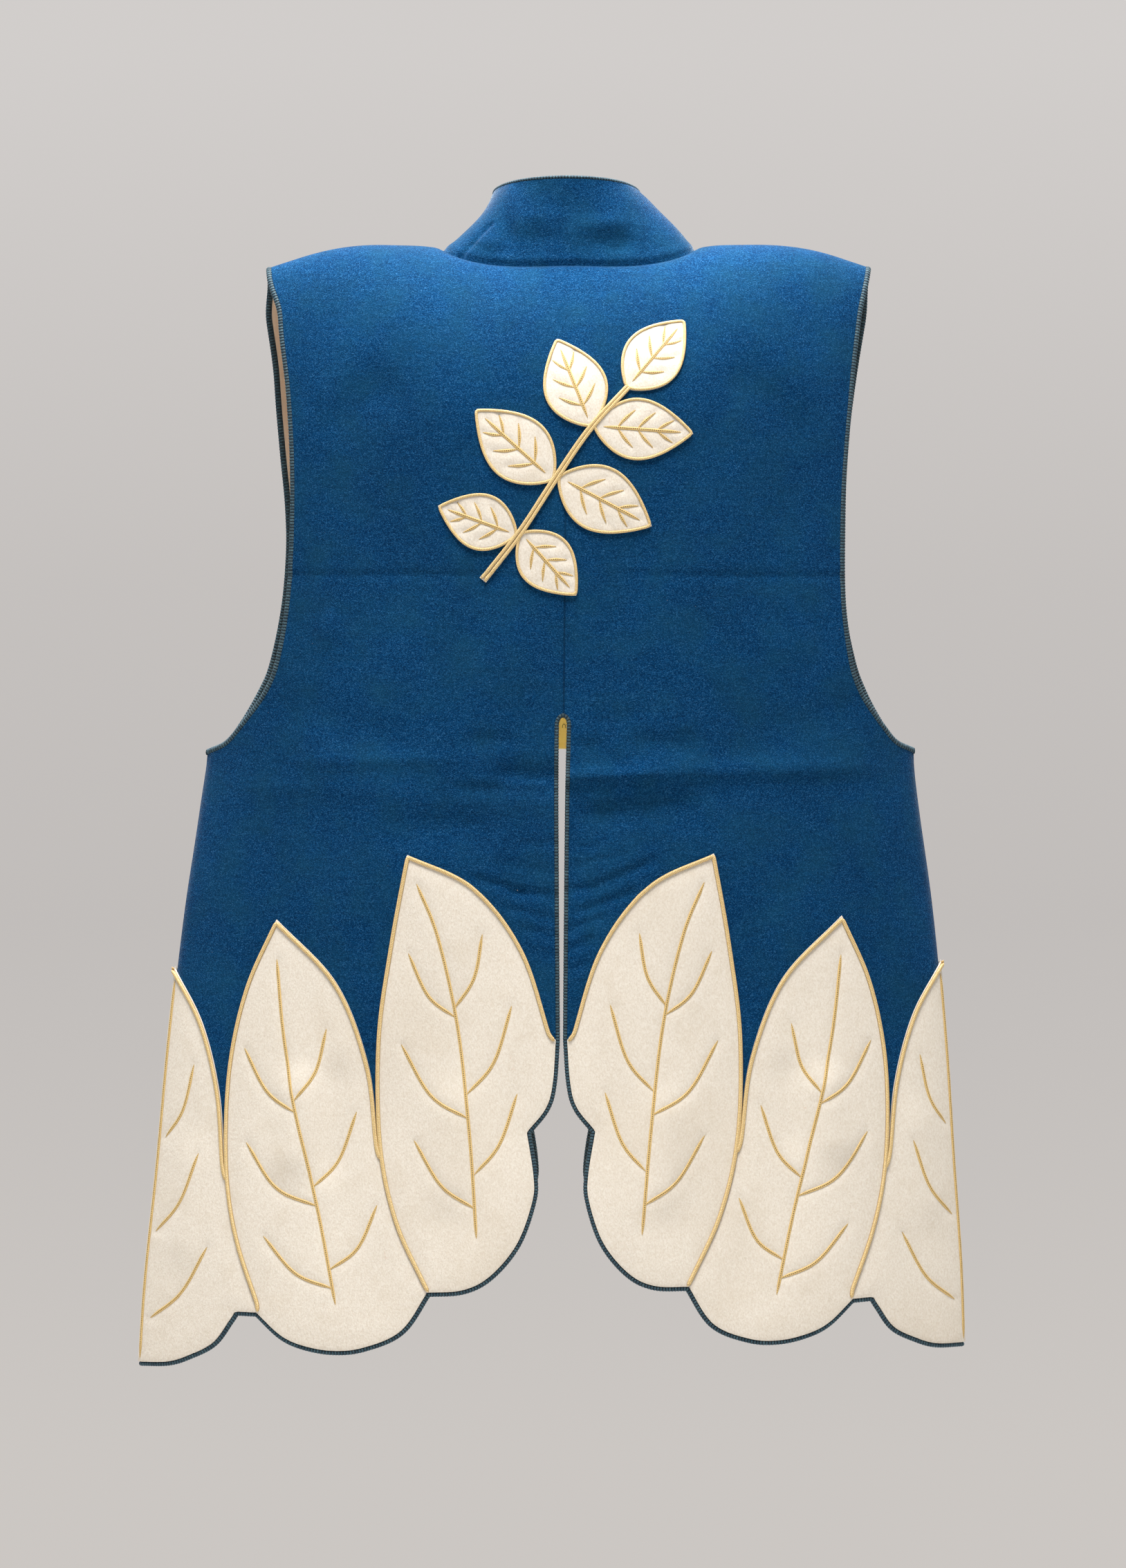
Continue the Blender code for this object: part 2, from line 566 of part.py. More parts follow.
def spray_shapes():
    """A leafy stem, its parts lapped so that the felt is one piece."""
    stem = curve_through(STEM, 5)
    taper = np.linspace(1.0, STEM_TIP_SHARE, len(stem))[:, None]
    ahead = np.gradient(stem, axis=0)
    ahead /= np.linalg.norm(ahead, axis=1, keepdims=True)
    across = np.stack([-ahead[:, 1], ahead[:, 0]], axis=1) * 0.5 * STEM_WIDE * taper
    shapes = [np.vstack([stem - across, (stem + across)[::-1]])]
    part = np.linspace(0.0, 1.0, 7)
    width = np.sin(math.pi * part ** LEAF_SWELL) ** LEAF_FULLNESS
    for foot_x, foot_z, turn, long, wide in SPRAY_LEAVES:
        angle = math.radians(turn)
        axis = np.array([math.cos(angle), math.sin(angle)])
        side = np.array([-axis[1], axis[0]])
        spine = np.array([foot_x, foot_z]) + long * part[:, None] * axis
        edge = 0.5 * wide * width[:, None] * side
        shapes.append(np.vstack([(spine - edge)[:-1], (spine + edge)[::-1][:-1]]))
    return [flat_both(shape) for shape in shapes]


def flat_both(points):
    """The flat drawing of points on either side of the middle."""
    sign = np.sign(points[:, 0])
    drawn = flat(np.stack([np.abs(points[:, 0]), points[:, 1]], axis=1))
    drawn[:, 0] *= np.where(sign == 0, 1.0, sign)
    return drawn


def add_collar(panels):
    """A stand collar that grows from the neck edge of the panels and leans in to a smaller ring."""
    base = []
    for panel, reverse in ((panels["front_left"], False), (panels["back_left"], True),
                           (panels["back_right"], False), (panels["front_right"], True)):
        neck = panel.runs["neck"]
        places = settle(panel.lift(neck, COLLAR_SEAT), panel.side)
        base.append(places[::-1] if reverse else places)
    ring = [base[0][:-1], 0.5 * (base[0][-1:] + base[1][:1]), base[1][1:-1],
            0.5 * (base[1][-1:] + base[2][:1]), base[2][1:-1], 0.5 * (base[2][-1:] + base[3][:1]),
            base[3][1:]]
    base = np.vstack(ring)
    turn = np.arctan2(base[:, 0] / NECK_HALF_WIDTH,
                      (COLLAR_BASE_MIDDLE_Y - base[:, 1]) / COLLAR_BASE_HALF_DEPTH)
    back = np.clip(np.cos(turn), 0.0, 1.0)
    front = np.clip(-np.cos(turn), 0.0, 1.0)
    top_x = COLLAR_TOP_HALF_WIDTH * np.sin(turn) + COLLAR_TOP_SHIFT * (1 - front)
    top_y = COLLAR_TOP_MIDDLE_Y - COLLAR_TOP_HALF_DEPTH * np.cos(turn)
    top_z = COLLAR_SIDE_Z + COLLAR_BACK_RISE * back ** 0.6 - COLLAR_FRONT_DROP * front ** 1.3
    top = np.stack([top_x, top_y, top_z], axis=1)
    top[0, 0] = base[0, 0]
    top[-1, 0] = base[-1, 0]
    rise = np.linspace(0.0, 1.0, 4)[:, None, None]
    outer = base * (1 - rise) + top * rise
    bulge = np.where(turn > 0, COLLAR_BULGE_RIGHT, -COLLAR_BULGE_LEFT) * np.sin(turn) ** 4
    outer[:, :, 0] += bulge * np.sin(math.pi * rise[:, :, 0])
    up = np.gradient(outer, axis=0)
    along = np.gradient(outer, axis=1)
    normals = np.cross(along, up)
    normals /= np.linalg.norm(normals, axis=2, keepdims=True)
    inward = np.array([0.0, COLLAR_TOP_MIDDLE_Y, 0.0]) - outer
    normals *= np.where(np.sum(normals * inward, axis=2, keepdims=True) > 0, -1.0, 1.0)
    normals[:, [0, -1], 0] = 0.0
    normals /= np.linalg.norm(normals, axis=2, keepdims=True)
    add_sheet("collar", outer, outer - COLLAR_THICK * normals, "wool")
    return outer, normals


def collar_edging_route(outer, normals):
    """Up one front end of the collar, round its top and down the other end."""
    reach = COLLAR_EDGING_REACH
    middle = outer - 0.5 * COLLAR_THICK * normals
    up = middle[-1] - middle[-2]
    up *= reach / np.linalg.norm(up, axis=1, keepdims=True)
    top = middle[-1] + up
    start = middle[:, 0] + [reach, 0.0, 0.0]
    end = middle[:, -1] - [reach, 0.0, 0.0]
    top[0] = start[-1] + up[0]
    top[-1] = end[-1] + up[-1]
    start[0, 2] += EDGING_RADIUS
    end[0, 2] += EDGING_RADIUS
    return np.vstack([start[:-1], top, end[:-1][::-1]])


def add_underflap(panels):
    """A plain strip of lining cloth that closes the gap between the fronts, cut square below."""
    path = panels["front_left"].runs["middle"][:, 1]
    top, end = flat([(0.0, FLAP_TOP_Z), (0.0, FLAP_END_Z)])[:, 1]
    rows = np.concatenate([[top], np.sort(path[(path > top) & (path < end)]), [end]])
    skins = []
    for height in (FLAP_DEPTH, FLAP_DEPTH - LINING_THICK):
        columns = []
        for side, x in ((-1, FLAP_HALF_WIDTH), (-1, FRONT_EDGE_X), (1, FRONT_EDGE_X), (1, FLAP_HALF_WIDTH)):
            drawing = np.stack([np.full(len(rows), x), rows], axis=1)
            panel = panels["front_left" if side < 0 else "front_right"]
            columns.append(settle(panel.lift(drawing, height), side))
        skins.append(np.stack(columns, axis=1))
    add_sheet("front_underflap", skins[0], skins[1], "lining")


for old in list(bpy.data.objects):
    bpy.data.objects.remove(old, do_unlink=True)
parts = bpy.data.collections.new("jinbaori")
bpy.context.scene.collection.children.link(parts)

quarters = {}
for face in ("back", "front"):
    for side in (-1, 1):
        quarter = Panel(face, side)
        quarters[quarter.name] = quarter
        quarter.wall(quarter.name, 0.0, WOOL_THICK, "wool")
        quarter.wall("lining_" + quarter.name, -WOOL_THICK - SEAM_GAP, LINING_THICK, "lining")
        for leaf, shape in leaf_shapes(quarter).items():
            add_plate("leaf_" + leaf + "_" + quarter.name, [quarter], [shape], "felt")

add_plate("leaf_spray", [quarters["back_left"], quarters["back_right"]], spray_shapes(), "felt")

add_underflap(quarters)
for side, name in ((-1, "left"), (1, "right")):
    back = quarters["back_" + name]
    front = quarters["front_" + name]
    reach = -EDGING_REACH
    lobes = ["outer_lobe", "notch_top", "middle_lobe", "inner_lobe", "upper_lobe", "middle"]
    back_line, back_route = back.edge_route(lobes, reach)
    # Above the top of the slit the two halves of the back are sewn together, with no edging
    open_part = back_line[:, 1] > flat([(0.0, SLIT_TOP_Z)])[0, 1] + 0.5 * SEAM_GAP
    front_route = front.edge_route(lobes, reach)[1]
    hem = np.vstack([back_route[open_part][::-1][:-1], front_route[1:]])
    hem[0, [0, 2]] = [EDGING_END_X, hem[1, 2] + SEAM_GAP]
    add_edging("edging_" + name, settle(hem, side), False)
    arm_back = back.edge_route(["armhole"], reach)[1]
    arm_front = front.edge_route(["armhole"], reach)[1]
    ridge = 0.5 * (arm_back[:1] + arm_front[:1])
    armpit = 0.5 * (arm_back[-1:] + arm_front[-1:])
    ring = np.vstack([ridge, arm_back[1:-1], armpit, arm_front[::-1][1:-1]])
    add_edging("edging_armhole_" + name, settle(ring, side), True)

collar_outer, collar_normals = add_collar(quarters)
add_edging("edging_collar", collar_edging_route(collar_outer, collar_normals), False)
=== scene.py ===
# Sleeveless wool surcoat filled out as worn: the finish of every piece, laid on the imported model.
# Metres, +Z up, the back at -Y and the wearer's left at -X. Places x, z are as seen from behind.
import math

import bpy
import numpy as np
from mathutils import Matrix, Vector
from mathutils.geometry import delaunay_2d_cdt


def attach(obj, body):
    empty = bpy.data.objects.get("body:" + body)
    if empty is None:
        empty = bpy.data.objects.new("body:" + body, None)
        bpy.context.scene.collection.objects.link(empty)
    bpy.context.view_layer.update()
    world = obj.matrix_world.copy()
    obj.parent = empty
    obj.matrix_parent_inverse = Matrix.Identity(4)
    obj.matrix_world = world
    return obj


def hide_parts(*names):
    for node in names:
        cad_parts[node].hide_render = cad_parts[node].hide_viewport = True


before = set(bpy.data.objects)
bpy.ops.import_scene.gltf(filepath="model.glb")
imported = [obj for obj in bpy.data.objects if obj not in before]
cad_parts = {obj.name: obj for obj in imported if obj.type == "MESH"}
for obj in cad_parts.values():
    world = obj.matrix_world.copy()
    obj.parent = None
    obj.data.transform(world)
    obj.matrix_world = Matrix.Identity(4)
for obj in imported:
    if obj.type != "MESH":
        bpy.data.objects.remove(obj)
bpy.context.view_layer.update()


# The tables below are written in millimetres
def metres(table):
    if isinstance(table, dict):
        return {key: metres(part) for key, part in table.items()}
    if isinstance(table, (list, tuple)):
        return [metres(part) for part in table]
    return round(table / 1000, 7)


# The form of the garment in metres, with the columns of its tables named above each
form = {
    "shoulderDrop": 0.140, "neckHalfWidth": 0.0950, "neckBackZ": -0.004, "neckFrontZ": -0.055,
    "neckPower": 2.6, "armpitZ": -0.3755, "slitTopZ": -0.3425, "slitArch": 0.010, "slitEdgeX": 0.0078,
    "frontEdgeX": 0.0100, "frontHemRise": 0.008, "sideCorner": 0.99985, "foldPower": 0.8,
    "waveHeight": 0.004, "waveLength": 0.170, "waveCrestX": 0.045, "waveFrom": 0.46, "waveFull": 0.76,
    "rippleHeight": 0.0005, "rippleAcross": 71.0, "rippleDown": 47.0, "rippleEnd": 0.25,
    "rippleFade": 0.06, "creaseFade": 3.5, "normalStep": 0.0006, "foldShare": 0.9990, "ridge": 0.001,
    "neckClear": 0.004, "shiftFades": (0.010, 0.035, 0.050), "apexClear": 0.0002, "clearShare": 0.93,
    "gap": 0.0003, "woolThick": 0.0020, "liningThick": 0.0010,
    # z, x moved, as each of the four armhole edges hangs
    "armholeShift": metres({
        "front_left": [(-30, 4.9), (-80, 3.8), (-110, 4.4), (-150, 3.5), (-180, 1.6), (-210, 0.7),
            (-240, 1.5), (-280, 2.8), (-330, 3.8), (-370, 3)],
        "back_left": [(-30, -6.8), (-50, -5.4), (-100, -5.8), (-150, -5.3), (-180, -4.6), (-210, -3.7),
            (-250, -2.7), (-310, -2.2), (-340, -1.6), (-370, -1)],
        "front_right": [(-30, 3), (-80, 2.2), (-120, 1), (-200, 0.9), (-280, 0.6), (-320, 2.6),
            (-340, 2.2), (-370, 1)],
        "back_right": [(-30, -2), (-100, -0.8), (-200, -1.5), (-260, -2), (-310, -1.8), (-370, -2.2)]}),
    # x, z
    "crest": metres([(0, 9), (96, 9), (111, 11.2), (131, 12.2), (146, 12.2), (171, 9.8), (197, 4.5),
              (217, -1.8), (242, -10.5)]),
    # z, half width
    "side": metres([(20, 270), (-250, 268), (-375.5, 268.8), (-421, 274.7), (-484, 283.9), (-588, 295),
              (-692, 303.3), (-770, 310.1), (-840, 313.5)]),
    # z, back, front
    "depth": metres([(20, 94, 98), (-140, 95, 104), (-400, 87, 98), (-620, 83, 94), (-840, 92, 100)]),
    # z, x moved, rise to each metre of x, x moved to each metre from the middle
    "lean": [(0.060, 0.0022, 0.001, 0.0000), (0.009, 0.0030, 0.001, 0.0000), (-0.030, 0.0019, 0.001, 0.0000),
             (-0.150, 0.0006, 0.000, 0.0000), (-0.260, 0.0000, 0.000, 0.0000),
             (-0.330, -0.0012, 0.001, -0.0020), (-0.400, -0.0024, 0.003, -0.0066),
             (-0.450, -0.0026, 0.005, -0.0072), (-0.520, -0.0027, 0.008, -0.0090),
             (-0.580, -0.0027, 0.012, -0.0115), (-0.650, -0.0026, 0.017, -0.0148),
             (-0.750, -0.0034, 0.022, -0.0178), (-0.840, -0.0042, 0.024, -0.0195)],
}

# The cut edges, each a smooth line through places x, z, and the order of those round the hem
cut = metres({
    "armhole": [(224.5, -4.5), (220, -42), (214, -94), (208.5, -172), (209, -250), (215.5, -302),
        (224.5, -328), (241, -354), (253, -368.5), (268.5, -375.5)],
    "outerLobe": [(312, -826.5), (291.1, -826.2), (275.7, -821.5), (258.3, -812.5), (246.9, -797),
        (241.4, -788.5)],
    "notchTop": [(241.4, -788.5), (223.9, -789.5)],
    "middleLobe": [(223.9, -789.5), (205.3, -807), (188.4, -815), (167.1, -819), (145.3, -817),
        (118.5, -805.2), (99.2, -776.5)],
    "innerLobe": [(99.2, -776.5), (72.4, -775), (52.8, -765), (33.8, -742), (23, -711), (22.3, -692),
        (27.5, -658.5)],
    "upperLobe": [(27.5, -658.5), (13.2, -640.5), (8.2, -622), (5.9, -590)],
    "innerLeafOutside": [(99.2, -776.5), (123, -725), (136, -665), (137.2, -590), (128.5, -520),
        (115.9, -450)],
    "innerLeafInside": [(115.9, -450), (65.9, -474), (28.9, -522), (6.8, -590)],
    "middleLeafInside": [(136.2, -665), (144.1, -605), (168.3, -545), (213.4, -498)],
    "middleLeafOutside": [(223.9, -789.5), (241.9, -735), (250.1, -680), (248.5, -610), (235.9, -550),
        (213.4, -498)],
    "outerLeafInside": [(250.3, -680), (255.3, -625), (268.5, -575), (289.8, -535)]})

hemNames = ["outerLobe", "notchTop", "middleLobe", "innerLobe", "upperLobe", "middle"]

# Soft creases of the cloth, columns x, z to x, z, half width above the line and below it, rise. A trough
# has a negative rise, and is steep on its narrow side.
creases = metres({
    "back": [(-265, -238.6, -20, -239.2, 1.6, 4, -1), (20, -239.2, 265, -240, 1.6, 4, -1),
        (0, -392.5, 80, -389, 6.2, 5, 4), (35, -389.5, 260, -385, 8.5, 6.5, 3.6),
        (2, -424, 115, -407.5, 8.5, 21, -5.5), (3, -369, 38, -369, 7, 10, -1.6),
        (45, -366.5, 110, -366, 7.5, 11, -2.4), (15, -352, 80, -340, 6, 10, -0.9),
        (4, -434, 95, -427, 9, 8, 1.1), (0, -446, 35, -443, 3, 4.5, -0.8), (0, -461, 55, -449, 3.5, 5, -1),
        (0, -477.5, 34, -473.5, 3, 4.5, -1.7), (18, -477, 80, -451, 3, 5, -2),
        (4, -496.5, 65, -475, 3, 4.5, -1.7), (0, -508.5, 40, -495, 3, 4.2, -1.3),
        (0, -523.5, 30, -511.5, 3, 4, -1.3), (0, -540.5, 24, -530, 3.2, 4, -1),
        (-80, -365.5, -30, -364.5, 6.5, 9, -1.9), (-56, -389, 0, -393, 9.5, 8, -4.4),
        (-95, -398.5, 0, -404, 3.5, 6, -1.9), (-150, -429, -35, -429, 12, 19, -3.6),
        (-34, -442, 0, -442, 2.5, 4, -1.1), (-60, -454.5, 0, -464, 3.2, 5, -0.9),
        (-75, -465, -20, -480, 2.8, 4.5, -1.8), (-45, -477, 0, -481, 3, 4.5, -1.9),
        (-50, -488, 0, -499.5, 3, 4.5, -1.1), (-36, -504, 0, -512.5, 3, 4.2, -1.1),
        (-28, -521.5, 0, -527, 3, 4, -0.9), (-215, -380, -60, -378.5, 6, 5.5, 1.8),
        (-260, -399, -90, -402, 9, 8, 1.2), (-240, -330, -100, -372, 16, 16, -2.4),
        (240, -335, 130, -370, 16, 16, -2.2), (-123, -83, -190, -138, 18, 18, -2.8),
        (116, -78, 196, -140, 18, 18, -2.8), (-190, -284, -166, -277, 12, 12, 1.8),
        (150, -305, 190, -280, 16, 16, 1.8), (-193, -600, -202, -700, 13, 13, 3.8),
        (-166, -590, -172, -705, 12, 12, -2.8), (196, -605, 214, -695, 14, 14, 3.4),
        (170, -595, 180, -690, 12, 12, -2.4), (-270, -650, -282, -770, 12, 12, 2.2),
        (268, -630, 285, -750, 13, 13, 2), (-75, -610, -85, -730, 15, 15, 2.4),
        (80, -620, 78, -735, 15, 15, 2.6)],
    "front": [(-200, -238, -20, -237.6, 3, 4.5, -1), (22, -237.8, 202, -238.4, 3, 4.5, -1),
        (-90, -75, -195, -175, 18, 18, -4), (86, -72, 190, -165, 17, 17, -3.6),
        (-240, -345, -110, -402, 15, 15, -3.6), (245, -350, 120, -412, 16, 16, -4),
        (-20, -400, -150, -388, 9, 9, 3), (18, -406, 170, -390, 9, 9, 3.4),
        (-22, -422, -110, -408, 8, 14, -3), (20, -430, 120, -412, 8, 14, -3),
        (-20, -130, -24, -330, 12, 12, 2.2), (20, -150, 26, -360, 12, 12, 2.2),
        (-190, -600, -204, -705, 14, 14, 3.4), (194, -600, 208, -695, 14, 14, 3.2),
        (-70, -590, -82, -730, 15, 15, 2.6), (78, -600, 76, -730, 15, 15, 2.5)]})


# A table read at many places, on soft curves between its rows
def softTable(rows, column, at):
    rows = sorted(rows)
    keys = np.array([row[0] for row in rows])
    values = np.array([row[column] for row in rows])
    slopes = np.gradient(values, keys)
    at = np.clip(at, keys[0], keys[-1])
    low = np.clip(np.searchsorted(keys, at, side="right") - 1, 0, len(keys) - 2)
    span = keys[low + 1] - keys[low]
    part = (at - keys[low]) / span
    return ((2 * part ** 3 - 3 * part ** 2 + 1) * values[low]
            + (part ** 3 - 2 * part ** 2 + part) * span * slopes[low]
            + (3 * part ** 2 - 2 * part ** 3) * values[low + 1]
            + (part ** 3 - part ** 2) * span * slopes[low + 1])


def unit(vectors):
    return vectors / np.linalg.norm(vectors, axis=-1, keepdims=True)


# How far along a line each of its points is
def farAlong(line):
    return np.concatenate([[0.0], np.cumsum(np.linalg.norm(np.diff(line, axis=0), axis=1))])


def softStep(value):
    part = np.clip(value, 0.0, 1.0)
    return part * part * (3 - 2 * part)


shoulderPath = 0.5 * math.pi * math.sqrt((form["shoulderDrop"] ** 2 + form["depth"][0][1] ** 2) / 2)


# x, z seen from behind to x and the way down the cloth from the shoulder ridge
def drawFlat(points):
    points = np.array(points, dtype=float)
    drop = softTable(form["crest"], 1, points[:, 0]) - points[:, 1]
    turn = np.arccos(np.clip(1 - drop / form["shoulderDrop"], 0.0, 1.0))
    path = np.where(drop < form["shoulderDrop"], shoulderPath * turn / (0.5 * math.pi),
                    shoulderPath + drop - form["shoulderDrop"])
    return np.stack([points[:, 0], path], axis=1)


# A quarter ellipse over the shoulder, then straight down. Across, the depth falls to the side as
# (1 - x squared over half width squared) to a power, so the front and back meet in a soft fold. Low down
# a cosine across adds the hem's shallow waves.
def onBody(drawing, face):
    x = np.abs(drawing[:, 0])
    path = drawing[:, 1]
    turn = 0.5 * math.pi * np.clip(path / shoulderPath, 0.0, 1.0)
    drop = form["shoulderDrop"] * (1 - np.cos(turn)) + np.clip(path - shoulderPath, 0.0, None)
    z = softTable(form["crest"], 1, x) - drop
    across = np.clip(x / softTable(form["side"], 1, z), 0.0, form["sideCorner"])
    depth = softTable(form["depth"], 1 if face == "back" else 2, z)
    hang = softStep((-z - form["waveFrom"]) / (form["waveFull"] - form["waveFrom"]))
    wave = np.cos(2 * math.pi * (x - form["waveCrestX"]) / form["waveLength"])
    depth = depth + form["waveHeight"] * hang * wave
    y = depth * (1 - across ** 2) ** form["foldPower"] * np.sin(turn)
    return np.stack([drawing[:, 0], -y if face == "back" else y, z], axis=1)


# Outward unit normals from small steps along and down the cloth, level and sideways on the side fold
def outward(drawing, face, surface):
    step = np.array([form["normalStep"], 0.0])
    right = surface(drawing + step) - surface(drawing - step)
    low = np.maximum(drawing[:, 1] - step[0], 0.0)
    below = surface(np.stack([drawing[:, 0], low + 2 * step[0]], axis=1))
    above = surface(np.stack([drawing[:, 0], low], axis=1))
    normal = np.cross(right, below - above)
    here = surface(drawing)
    seam = np.abs(drawing[:, 0]) > softTable(form["side"], 1, here[:, 2]) * form["foldShare"]
    normal[seam] = [1.0, 0.0, 0.0]
    normal[drawing[:, 1] < form["ridge"], 1] = 0.0
    away = here.copy()
    away[:, 2] = np.where(drawing[:, 1] < shoulderPath, away[:, 2] + form["shoulderDrop"], 0.0)
    return unit(normal * np.where(np.sum(normal * away, axis=1) < 0, -1.0, 1.0)[:, None])


# Every crease is a bell across its line, wider on one side, and fades to its ends but at the slit. A faint
# ripple, a sine across times a sine down, lies under them all.
def creaseHeight(x, z, face):
    height = form["rippleHeight"] * np.sin(x * form["rippleAcross"] + 1.3)
    middle = softStep((form["rippleEnd"] - np.abs(x)) / form["rippleFade"])
    height *= np.sin(z * form["rippleDown"] + 0.4) * middle
    ends = form["creaseFade"]
    for x0, z0, x1, z1, above, below, rise in creases[face]:
        long, high = x1 - x0, z1 - z0
        along = np.clip(((x - x0) * long + (z - z0) * high) / (long ** 2 + high ** 2), 0, 1)
        away = np.hypot(x - x0 - long * along, z - z0 - high * along)
        width = np.where(z > z0 + high * along, above, below)
        fade = softStep(ends * along + (x0 == 0)) * softStep(ends * (1 - along) + (x1 == 0))
        height += rise * fade * (x * (x0 + x1) >= 0) * np.exp(-(away / width) ** 2)
    return height


# Mirrored to its side, then leaned as the real one hangs
def settle(points, side):
    points = points.copy()
    points[:, 0] *= side
    moved, rise, spread = [softTable(form["lean"], column, points[:, 2]) for column in (1, 2, 3)]
    points[:, 2] += points[:, 0] * rise
    points[:, 0] += moved + np.abs(points[:, 0]) * spread
    return points


# Places and normals at a height over the creased cloth
def place(drawing, face, side, height):
    sides = np.broadcast_to(np.asarray(side, dtype=float), len(drawing))

    def plain(points):
        return onBody(points, face)

    def creased(points):
        base = plain(points)
        crease = creaseHeight(base[:, 0] * sides, base[:, 2], face)
        return base + crease[:, None] * outward(points, face, plain)

    normal = outward(drawing, face, creased)
    points = settle(creased(drawing) + np.broadcast_to(height, len(drawing))[:, None] * normal, sides)
    normal[:, 0] *= sides
    return points, normal


curveSteps = 14


# A soft curve through a few places, in even steps between each two
def curveThrough(points):
    points = np.array(points, dtype=float)
    padded = np.vstack([2 * points[0] - points[1], points, 2 * points[-1] - points[-2]])
    part = np.linspace(0.0, 1.0, curveSteps, endpoint=False)[:, None]
    runs = []
    for before, start, end, after in zip(padded, padded[1:], padded[2:], padded[3:]):
        runs.append(0.5 * (2 * start + (end - before) * part
                           + (2 * before - 5 * start + 4 * end - after) * part ** 2
                           + (3 * start - before - 3 * end + after) * part ** 3))
    return np.vstack(runs + [points[-1:]])


# The same line with its points evenly spaced, in two or three dimensions
def evenly(line, spacing, closed=False):
    if closed:
        line = np.vstack([line, line[:1]])
    far = farAlong(line)
    count = max(int(round(far[-1] / spacing)), 1)
    at = np.linspace(0.0, far[-1], count + 1)
    spaced = np.stack([np.interp(at, far, line[:, axis]) for axis in range(line.shape[1])], axis=1)
    return spaced[:-1] if closed else spaced


# A line of flat points moved to its left, with its corners mitred
def offsetLine(points, distance, closed):
    ahead = np.roll(points, -1, axis=0) - points
    behind = points - np.roll(points, 1, axis=0)
    if not closed:
        ahead[-1] = behind[-1]
        behind[0] = ahead[0]
    leftAhead, leftBehind = [unit(np.stack([-way[:, 1], way[:, 0]], axis=1)) for way in (ahead, behind)]
    mitre = leftAhead + leftBehind
    mitre /= np.maximum(np.sum(mitre * leftAhead, axis=1, keepdims=True), 0.35)
    return points + distance * mitre


# Work on many points, some at a time
def inParts(points, work, size=2000):
    return np.concatenate([work(some) for some in np.array_split(points, max(len(points) // size, 1))])


# Whether flat points lie in a polygon, by counting the edges to their right
def inside(points, polygon):
    ax, ay = polygon.T
    bx, by = np.roll(ax, -1), np.roll(ay, -1)
    climb = np.where(by == ay, 1e-12, by - ay)

    def within(some):
        x, y = some[:, :1], some[:, 1:]
        crossed = ((ay > y) != (by > y)) & (x < ax + (y - ay) * (bx - ax) / climb)
        return np.count_nonzero(crossed, axis=1) % 2 == 1

    return inParts(points, within)


# Distance from flat points to a line
def distanceTo(points, line, closed=True):
    start = line if closed else line[:-1]
    along = (np.roll(line, -1, axis=0) if closed else line[1:]) - start
    size = np.maximum(np.sum(along ** 2, axis=1), 1e-14)

    def nearest(some):
        apart = some[:, None] - start
        share = np.clip(np.sum(apart * along, axis=2) / size, 0, 1)
        return np.linalg.norm(apart - share[..., None] * along, axis=2).min(axis=1)

    return inParts(points, nearest)


# Columns and levels crossed, with every other level moved over by half a space
def stagger(columns, levels, spacing):
    across, down = np.meshgrid(columns, levels)
    across[1::2] += 0.5 * spacing
    return np.stack([across.ravel(), down.ravel()], axis=1)


lattice = {"reach": 0.29, "squeeze": 0.10, "level": 0.87, "clear": 0.0006, "rowClear": 0.45, "rowKeep": 0.9,
           "lineClear": 0.4}


# A net of triangles over flat shapes: their outlines, rows of points just within them, lines to follow,
# and a staggered lattice that closes up towards the side fold
def netOver(shapes, spacing, rows, extra=()):
    def kept(group, room):
        nearest = np.min([distanceTo(group, shape) for shape in shapes], axis=0)
        within = np.any([inside(group, shape) for shape in shapes], axis=0)
        return group[within & (nearest > room)]

    low, high = np.min(np.vstack(shapes), axis=0), np.max(np.vstack(shapes), axis=0)
    share = np.arange(-lattice["reach"], lattice["reach"], spacing) / lattice["reach"]
    columns = lattice["reach"] * (share + lattice["squeeze"] * np.sin(math.pi * share))
    columns = columns[(columns > low[0] - spacing) & (columns < high[0] + spacing)]
    levels = np.arange(low[1], high[1] + spacing, lattice["level"] * spacing)
    middle = kept(stagger(columns, levels, spacing), max(rows) + lattice["rowClear"] * spacing)
    near = [kept(offsetLine(shape, row, True), lattice["rowKeep"] * row) for row in rows for shape in shapes]
    lines = [kept(line, lattice["clear"]) for line in extra]
    if sum(len(line) for line in lines):
        followed = np.vstack(lines)
        apart = inParts(middle, lambda some: np.linalg.norm(some[:, None] - followed, axis=2).min(axis=1),
                        500)
        middle = middle[apart > lattice["lineClear"] * spacing]
    edges, first = [], 0
    for shape in shapes:
        edges += [(first + i, first + (i + 1) % len(shape)) for i in range(len(shape))]
        first += len(shape)
    points = [Vector(point) for point in np.vstack([*shapes, middle, *near, *lines])]
    found = delaunay_2d_cdt(points, edges, [], 0, 1e-7, False)
    verts, faces = np.array([tuple(vert) for vert in found[0]]), np.array(found[2])
    middles = verts[faces].mean(axis=1)
    faces = faces[np.any([inside(middles, shape) for shape in shapes], axis=0)]
    used, renumbered = np.unique(faces, return_inverse=True)
    return verts[used], renumbered.reshape(-1, 3)


def areaOf(places, triangles):
    a, b, c = places[triangles.T]
    return float(0.5 * np.sum(np.linalg.norm(np.cross(b - a, c - a), axis=1)))


# The triangles of a grid of rows and columns
def gridTriangles(rows, columns):
    index = np.arange(rows * columns).reshape(rows, columns)
    a, b, c, d = [part.ravel() for part in (index[:-1, :-1], index[:-1, 1:], index[1:, 1:], index[1:, :-1])]
    return np.vstack([np.stack([a, b, c], axis=1), np.stack([a, c, d], axis=1)])


sharpAngle = math.radians(62)


def addObject(name, data):
    made = bpy.data.objects.new(name, data)
    bpy.context.scene.collection.objects.link(made)
    return made


